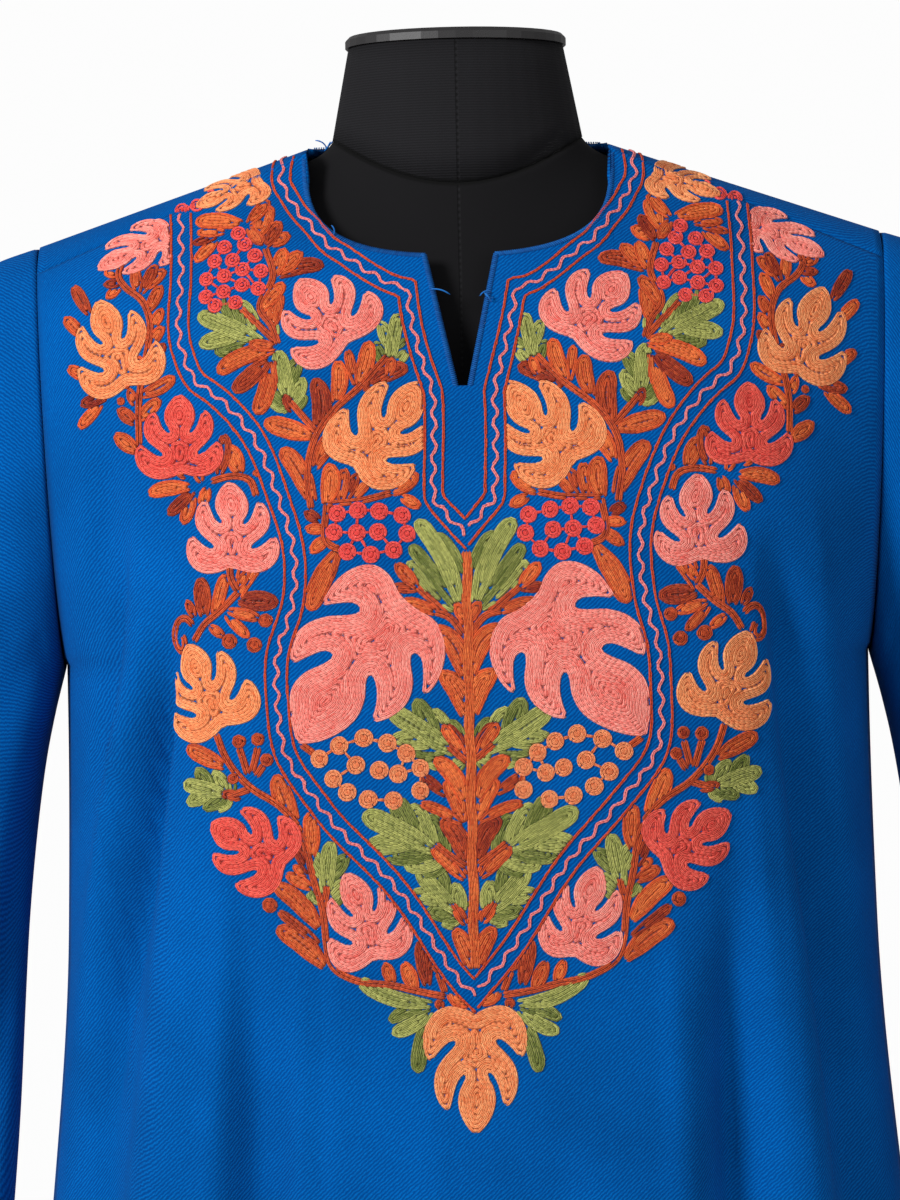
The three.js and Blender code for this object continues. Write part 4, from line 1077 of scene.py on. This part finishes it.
# x and height of a petal's root, x and height of its tip, its width, and its bow where it has one
PETALS = [
    (92, 1344, 106, 1346, 6), (3, 1142, 14, 1158, 5.5), (85, 1312, 89, 1321, 5.5), (37, 1328, 34, 1338, 5.5),
    (4, 1082, 20, 1098, 5.5), (4, 1060, 10, 1070, 5.5), (112, 1123, 122, 1125, 5.5), (73, 1069, 71, 1079, 5.5),
    (160, 1322, 142, 1332, 6.5, 0.05), (159, 1327, 147, 1338, 5.5), (156, 1338, 147, 1349, 6),
    (156, 1346, 148, 1358, 5.5), (154, 1356, 149, 1367, 5.5), (156, 1365, 150, 1379, 6),
    (160, 1374, 153, 1390, 5.5), (159, 1376, 148, 1387, 6), (162, 1375, 164, 1388, 5.5), (172, 1383, 180, 1386, 5),
    (171, 1379, 180, 1379, 5), (171, 1377, 178, 1371, 5.5), (160, 1327, 160, 1343, 5), (163, 1317, 166, 1326, 5),
    (163, 1308, 172, 1316, 6.5), (162, 1294, 174, 1303, 7.5), (161, 1310, 150, 1321, 6.5),
    (160, 1301, 153, 1311, 5), (176, 1322, 192, 1318, 6), (180, 1318, 193, 1306, 6), (184, 1330, 198, 1338, 6),
    (188, 1352, 200, 1364, 6), (186, 1364, 196, 1380, 6), (106, 1408, 95, 1421, 6),
    (109, 1408, 134, 1411, 8, 0.04), (118, 1404, 133, 1405, 5), (122, 1402, 135, 1399, 4.5),
    (122, 1400, 134, 1389, 6), (106, 1406, 99, 1396, 6), (101, 1402, 94, 1418, 9, -0.06), (98, 1396, 90, 1410, 7),
    (95, 1397, 85, 1403, 7), (93, 1381, 88, 1396, 7), (91, 1382, 79, 1394, 7.5), (91, 1381, 67, 1386, 7.5, -0.1),
    (100, 1362, 88, 1378, 6.5), (95, 1353, 91, 1375, 8), (93, 1343, 122, 1331, 8, 0.08), (95, 1338, 114, 1321, 8),
    (94, 1338, 103, 1309, 8, -0.05), (75, 1300, 100, 1307, 9), (74, 1267, 91, 1295, 9, 0.06),
    (72, 1302, 73, 1330, 9, 0.1), (63, 1316, 61, 1338, 7.5, 0.08), (53, 1324, 56, 1343, 4.5),
    (52, 1324, 45, 1347, 7.5, 0.05), (49, 1321, 26, 1333, 8.5, -0.1), (73, 1284, 58, 1307, 8, -0.06),
    (67, 1266, 66, 1287, 9, 0.08), (60, 1267, 58, 1284, 6), (57, 1268, 52, 1281, 5), (55, 1267, 46, 1278, 5.5),
    (36, 1270, 22, 1280, 8), (31, 1268, 21, 1263, 6), (71, 1258, 79, 1263, 6), (68, 1254, 79, 1254, 5.5),
    (67, 1250, 77, 1242, 6), (63, 1242, 78, 1213, 9.5, 0.04), (120, 1281, 118, 1302, 6.5, 0.05),
    (110, 1281, 115, 1296, 8), (129, 1278, 133, 1286, 5), (135, 1276, 157, 1273, 7, 0.06),
    (133, 1274, 147, 1262, 6), (133, 1271, 139, 1257, 6.5), (126, 1275, 129, 1265, 6.5), (137, 1281, 143, 1285, 5),
    (129, 1212, 131, 1232, 8), (124, 1212, 118, 1233, 6), (112, 1225, 107, 1234, 5),
    (112, 1221, 92, 1243, 9, -0.16), (112, 1219, 92, 1218, 9), (117, 1214, 101, 1210, 5.5),
    (118, 1212, 106, 1200, 5), (126, 1207, 118, 1201, 5), (134, 1212, 139, 1221, 5), (120, 1138, 141, 1149, 7.5),
    (86, 1112, 96, 1135, 9, -0.04), (78, 1094, 79, 1117, 7.5, 0.04), (80, 1086, 87, 1101, 4.5),
    (81, 1085, 88, 1090, 5), (79, 1079, 92, 1086, 6), (76, 1060, 98, 1081, 8.5, 0.06), (76, 1052, 97, 1068, 4.5),
    (73, 1041, 98, 1060, 9, 0.05), (40, 1031, 44, 1042, 6), (29, 1028, 35, 1042, 7), (23, 1030, 27, 1053, 7),
    (12, 1027, 2, 1020, 8), (14, 1211, 34, 1217, 5.5, 0.06), (25, 1224, 36, 1236, 6.5), (25, 1223, 38, 1224, 5),
    (2, 1181, 17, 1206, 9, 0.14), (2, 1162, 14, 1184, 10, 0.14), (1, 1207, 6, 1217, 5.5),
    (2, 1142, 12, 1158, 5, 0.06), (3, 1119, 19, 1142, 8, 0.12), (4, 1109, 26, 1119, 5, 0.06),
    (3, 1110, 13, 1131, 9, 0.1), (3, 1091, 15, 1112, 8.5, 0.12), (3, 1084, 19, 1097, 4.5, 0.08),
    (2, 1060, 9, 1069, 5), (1, 1037, 10, 1059, 7.5, 0.06), (12, 1123, 25, 1133, 5)]
# x, height and radius of a round bud
BUDS = [(100, 1070, 4.2), (99, 1209, 4), (104, 1197, 4.2), (116, 1199, 4.3), (116, 1132, 3.3), (113, 1150, 3.9),
        (104, 1151, 3.7), (100, 1141, 3.7), (18, 1039, 3.3), (102, 1281, 2.6), (167, 1328, 3), (170, 1319, 2.7),
        (17, 1021, 3.2)]
# the points of each stem, from the thick end
STEMS = [[(161, 1294), (161, 1320), (159, 1332), (156, 1346), (155, 1359), (160, 1371), (168, 1377), (172, 1383),
          (169, 1392)],
         [(98, 1395), (94, 1381), (100, 1363), (94, 1355), (91, 1346)],
         [(91, 1346), (109, 1364)],
         [(75, 1264), (77, 1282), (73, 1300), (64, 1312), (51, 1323), (37, 1338)],
         [(73, 1302), (86, 1317)],
         [(67, 1266), (48, 1267), (36, 1270)],
         [(67, 1266), (67, 1246), (60, 1243)],
         [(124, 1278), (113, 1280), (105, 1278), (102, 1270)],
         [(134, 1200), (129, 1208), (121, 1214), (112, 1223)],
         [(112, 1223), (115.5, 1229), (116, 1236)],
         [(135, 1208), (139, 1212), (143, 1211), (146, 1205), (145, 1197), (141, 1195), (139, 1200), (141, 1203)],
         [(124, 1154), (120, 1143), (107, 1127), (94, 1119), (86, 1111), (80, 1095), (78, 1084), (74, 1068),
          (72, 1050), (70, 1042), (57, 1033), (40, 1030), (26, 1027), (14, 1025)],
         [(109, 1134), (113, 1147)],
         [(107, 1135), (104, 1147)],
         [(105, 1133), (101, 1139)],
         [(107, 1127), (119, 1123)],
         [(14, 1027), (18, 1038)],
         [(74, 1066), (71, 1080)],
         [(83, 1149), (76, 1144)],
         [(2, 1201), (9, 1210), (16, 1212)],
         [(3, 1205), (25, 1224)],
         [(5, 1062), (10, 1070)],
         [(2, 1139), (11, 1147)],
         [(3, 1088), (17, 1099)]]
BLUNT, PLUMP = 0.7, 1.12  # how round a finger's tip is, and how much wider than its loop a petal is worked


def finger(root, tip, wide, bow=0.0):
    """Rows of a finger: loops one inside another, with how deep each lies from 0 to 1 and how far it reaches."""
    root, tip = np.array(root, float), np.array(tip, float)
    run = tip - root
    length = np.linalg.norm(run)
    across = np.array([-run[1], run[0]]) / length
    t = np.linspace(0, 1, 18)
    spine = root + np.outer(t, run) + np.outer(np.sin(t * math.pi) * bow * length, across)
    full = wide / 2 * np.minimum(1, 0.5 + 1.6 * t) * np.sqrt(np.clip((1 - t) * length / (wide * BLUNT), 0, 1))
    rows, inset = [], 0.8
    while inset < wide / 2:
        half = full - inset
        kept = half > 0
        if kept.sum() > 3:
            near, side = spine[kept], np.outer(half[kept], across)
            if inset + 0.55 < wide / 2:
                near = np.vstack([near + side, near[-1:] + run / length * 0.3, (near - side)[::-1]])
            rows.append((near, inset / (wide / 2), 0.95 if inset < 1 else 1.35))
        inset += ROW_GAP
    return rows


dark_rows, glow_rows = [], []
height = np.linspace(1241, 1038, 220)  # the main stem, from the slit to the point of the vase
work([(np.stack([off + 0.5 * np.sin(height / 5), height], 1), 0.4, 1.1) for off in (-1.5, 0, 1.5)], glow_rows)
for side in (-1, 1):
    for bud in BUDS:
        work(on_side(berry(*bud), side, -0.2), dark_rows)
    for stem in STEMS:
        run, way = spaced(smooth_line(stem), 0.8)
        work([(hand(run + left_of(way) * off, side), 0.5, 1.0) for off in (-0.85, 0.85)], dark_rows)
    for k, (root_x, root_z, tip_x, tip_z, wide, *bow) in enumerate(PETALS):
        own, red = 0.16 * math.sin(2.4 * k + side), k % 4 == 2
        rows = []
        work(on_side(finger((root_x, root_z), (tip_x, tip_z), wide * PLUMP, *bow), side), rows)
        for points, depth, reach in rows:
            if depth > 0.4 and not red:
                glow_rows.append((points, 0.44 + own, reach))
            else:
                dark_rows.append((points, 0.22 + own + 0.44 * (not red), reach))
chain_stitch("rust_petals", dark_rows, thread_finish("rust_thread", srgb(126, 22, 12), srgb(238, 104, 48)))
chain_stitch("orange_petal_middles", glow_rows,
             thread_finish("orange_middle_thread", srgb(184, 58, 20), srgb(246, 138, 70)))


# ---- The green leaves ----------------------------------------------------------------------------------------
# Toothed leaves in two greens: each is a fan of broad fingers that lie close against each other, and each finger
# is filled with loops of chain stitch, one inside another.

# base, tip, width, fingers on a side
GREENS = [((95, 1345), (132, 1363), 30, 4), ((86, 1314), (91, 1344), 21, 3), ((37, 1330), (31, 1361), 17, 3),
          ((3, 1141), (41, 1165), 26, 4), ((12, 1093), (54, 1115), 31, 4), ((6, 1063), (28, 1087), 21, 3),
          ((117, 1124), (143, 1131), 20, 3), ((73, 1071), (68, 1103), 20, 3)]
# root, tip, width and bow of a long finger
GREEN_FINGERS = [((3, 1214), (25, 1259), 9, 0.06), ((4, 1212), (29, 1246), 7.5, 0.02),
                 ((5, 1211), (30, 1238), 8, -0.05), ((2, 1218), (15, 1252), 7.5, 0.1),
                 ((21, 1021), (57, 1034), 8, -0.1), ((22, 1019), (43, 1012), 6.5, 0.1),
                 ((21, 1018), (42, 1006), 7.5, -0.06), ((20, 1017), (30, 986), 8, 0.06)]
FAN_TINTS, LONG_TINTS = (0.7, 0.22), (0.68, 0.25)  # pale and dark green

green_work = []
for side in (-1, 1):
    for base, tip, wide, count in GREENS:
        base, tip = np.array(base, float), np.array(tip, float)
        run = tip - base
        length = np.linalg.norm(run)
        across = np.array([-run[1], run[0]]) / length
        made = [(base + run * 0.1, tip, 0.66)]
        for k in range(count):
            for out in (-1, 1):
                along = 0.8 - 0.66 * k / (count - 1)
                swell = 0.6 + 0.4 * math.sin(math.pi * (0.3 + along * 0.45))
                made.append((base + run * max(0, along - 0.45), base + run * along + across * out * wide / 2 * swell,
                             FAN_TINTS[(k + (out > 0)) % 2]))
        for root, end, shade in made:
            fat = min(length * 0.9 / count, wide * 0.42)
            work(on_side(finger(root, end, fat), side, shade, -0.1), green_work)
    for k, long_one in enumerate(GREEN_FINGERS):
        work(on_side(finger(*long_one), side, LONG_TINTS[k % 2], -0.1), green_work)
chain_stitch("green_leaves", green_work, thread_finish("green_thread", srgb(84, 98, 28), srgb(196, 196, 112)))


# ---- The floor, the lights and the camera --------------------------------------------------------------------
# A plain pale floor under the stand, soft studio light from the upper left with a weak fill, and a camera at
# chest height in front of the robe.

bpy.ops.object.select_all(action="DESELECT")
bpy.ops.mesh.primitive_grid_add(x_subdivisions=8, y_subdivisions=8, size=4, location=(0, 0, 0))
floor = bpy.context.active_object
floor.name = "floor"
pale, tree, shader = new_finish("pale_floor", (0.86, 0.86, 0.86), 0.8)
speck = noise(tree, add_node(tree, "ShaderNodeTexCoord").outputs["Object"], 60.0, 4.0)
tree.links.new(blend(tree, speck, (0.84, 0.84, 0.84), (0.88, 0.88, 0.88)), shader.inputs["Base Color"])
floor.data.materials.append(pale)


def soft_light(name, place, look_at, size, power):
    bpy.ops.object.light_add(type="AREA", location=place)
    light = bpy.context.active_object
    light.name = name
    light.data.shape, light.data.size, light.data.energy = "DISK", size, power
    aim = [look_at[k] - place[k] for k in range(3)]
    flat = math.hypot(aim[0], aim[1])
    light.rotation_euler = (math.atan2(flat, -aim[2]), 0, math.atan2(aim[1], aim[0]) - math.pi / 2)


soft_light("key_light", (-1.75, -1.75, 2.15), (0, 0, 1.15), 0.8, 66)
soft_light("fill_light", (1.4, -2.2, 1.6), (0, 0, 1.1), 1.4, 8)

world = bpy.context.scene.world or bpy.data.worlds.new("studio")
bpy.context.scene.world = world
world.use_nodes = True
air = world.node_tree
air.nodes.clear()
ray = add_node(air, "ShaderNodeLightPath")
around = add_node(air, "ShaderNodeBackground", {"Color": (1, 1, 1, 1), "Strength": 0.38})
seen = add_node(air, "ShaderNodeBackground", {"Color": (0.98, 0.98, 0.98, 1), "Strength": 1.0})
mixed = add_node(air, "ShaderNodeMixShader", {0: ray.outputs["Is Camera Ray"], 1: around.outputs[0],
                                              2: seen.outputs[0]})
add_node(air, "ShaderNodeOutputWorld", {"Surface": mixed.outputs[0]})
bpy.context.scene.view_settings.view_transform = "Standard"
bpy.context.scene.view_settings.look = "None"

bpy.ops.object.camera_add(location=(-0.0085, -2.560, 1.2175), rotation=(math.pi / 2, math.radians(1.15), 0))
camera = bpy.context.active_object
camera.name = "camera"
camera.data.lens, camera.data.sensor_height, camera.data.sensor_fit = 150, 36, "VERTICAL"
bpy.context.scene.camera = camera
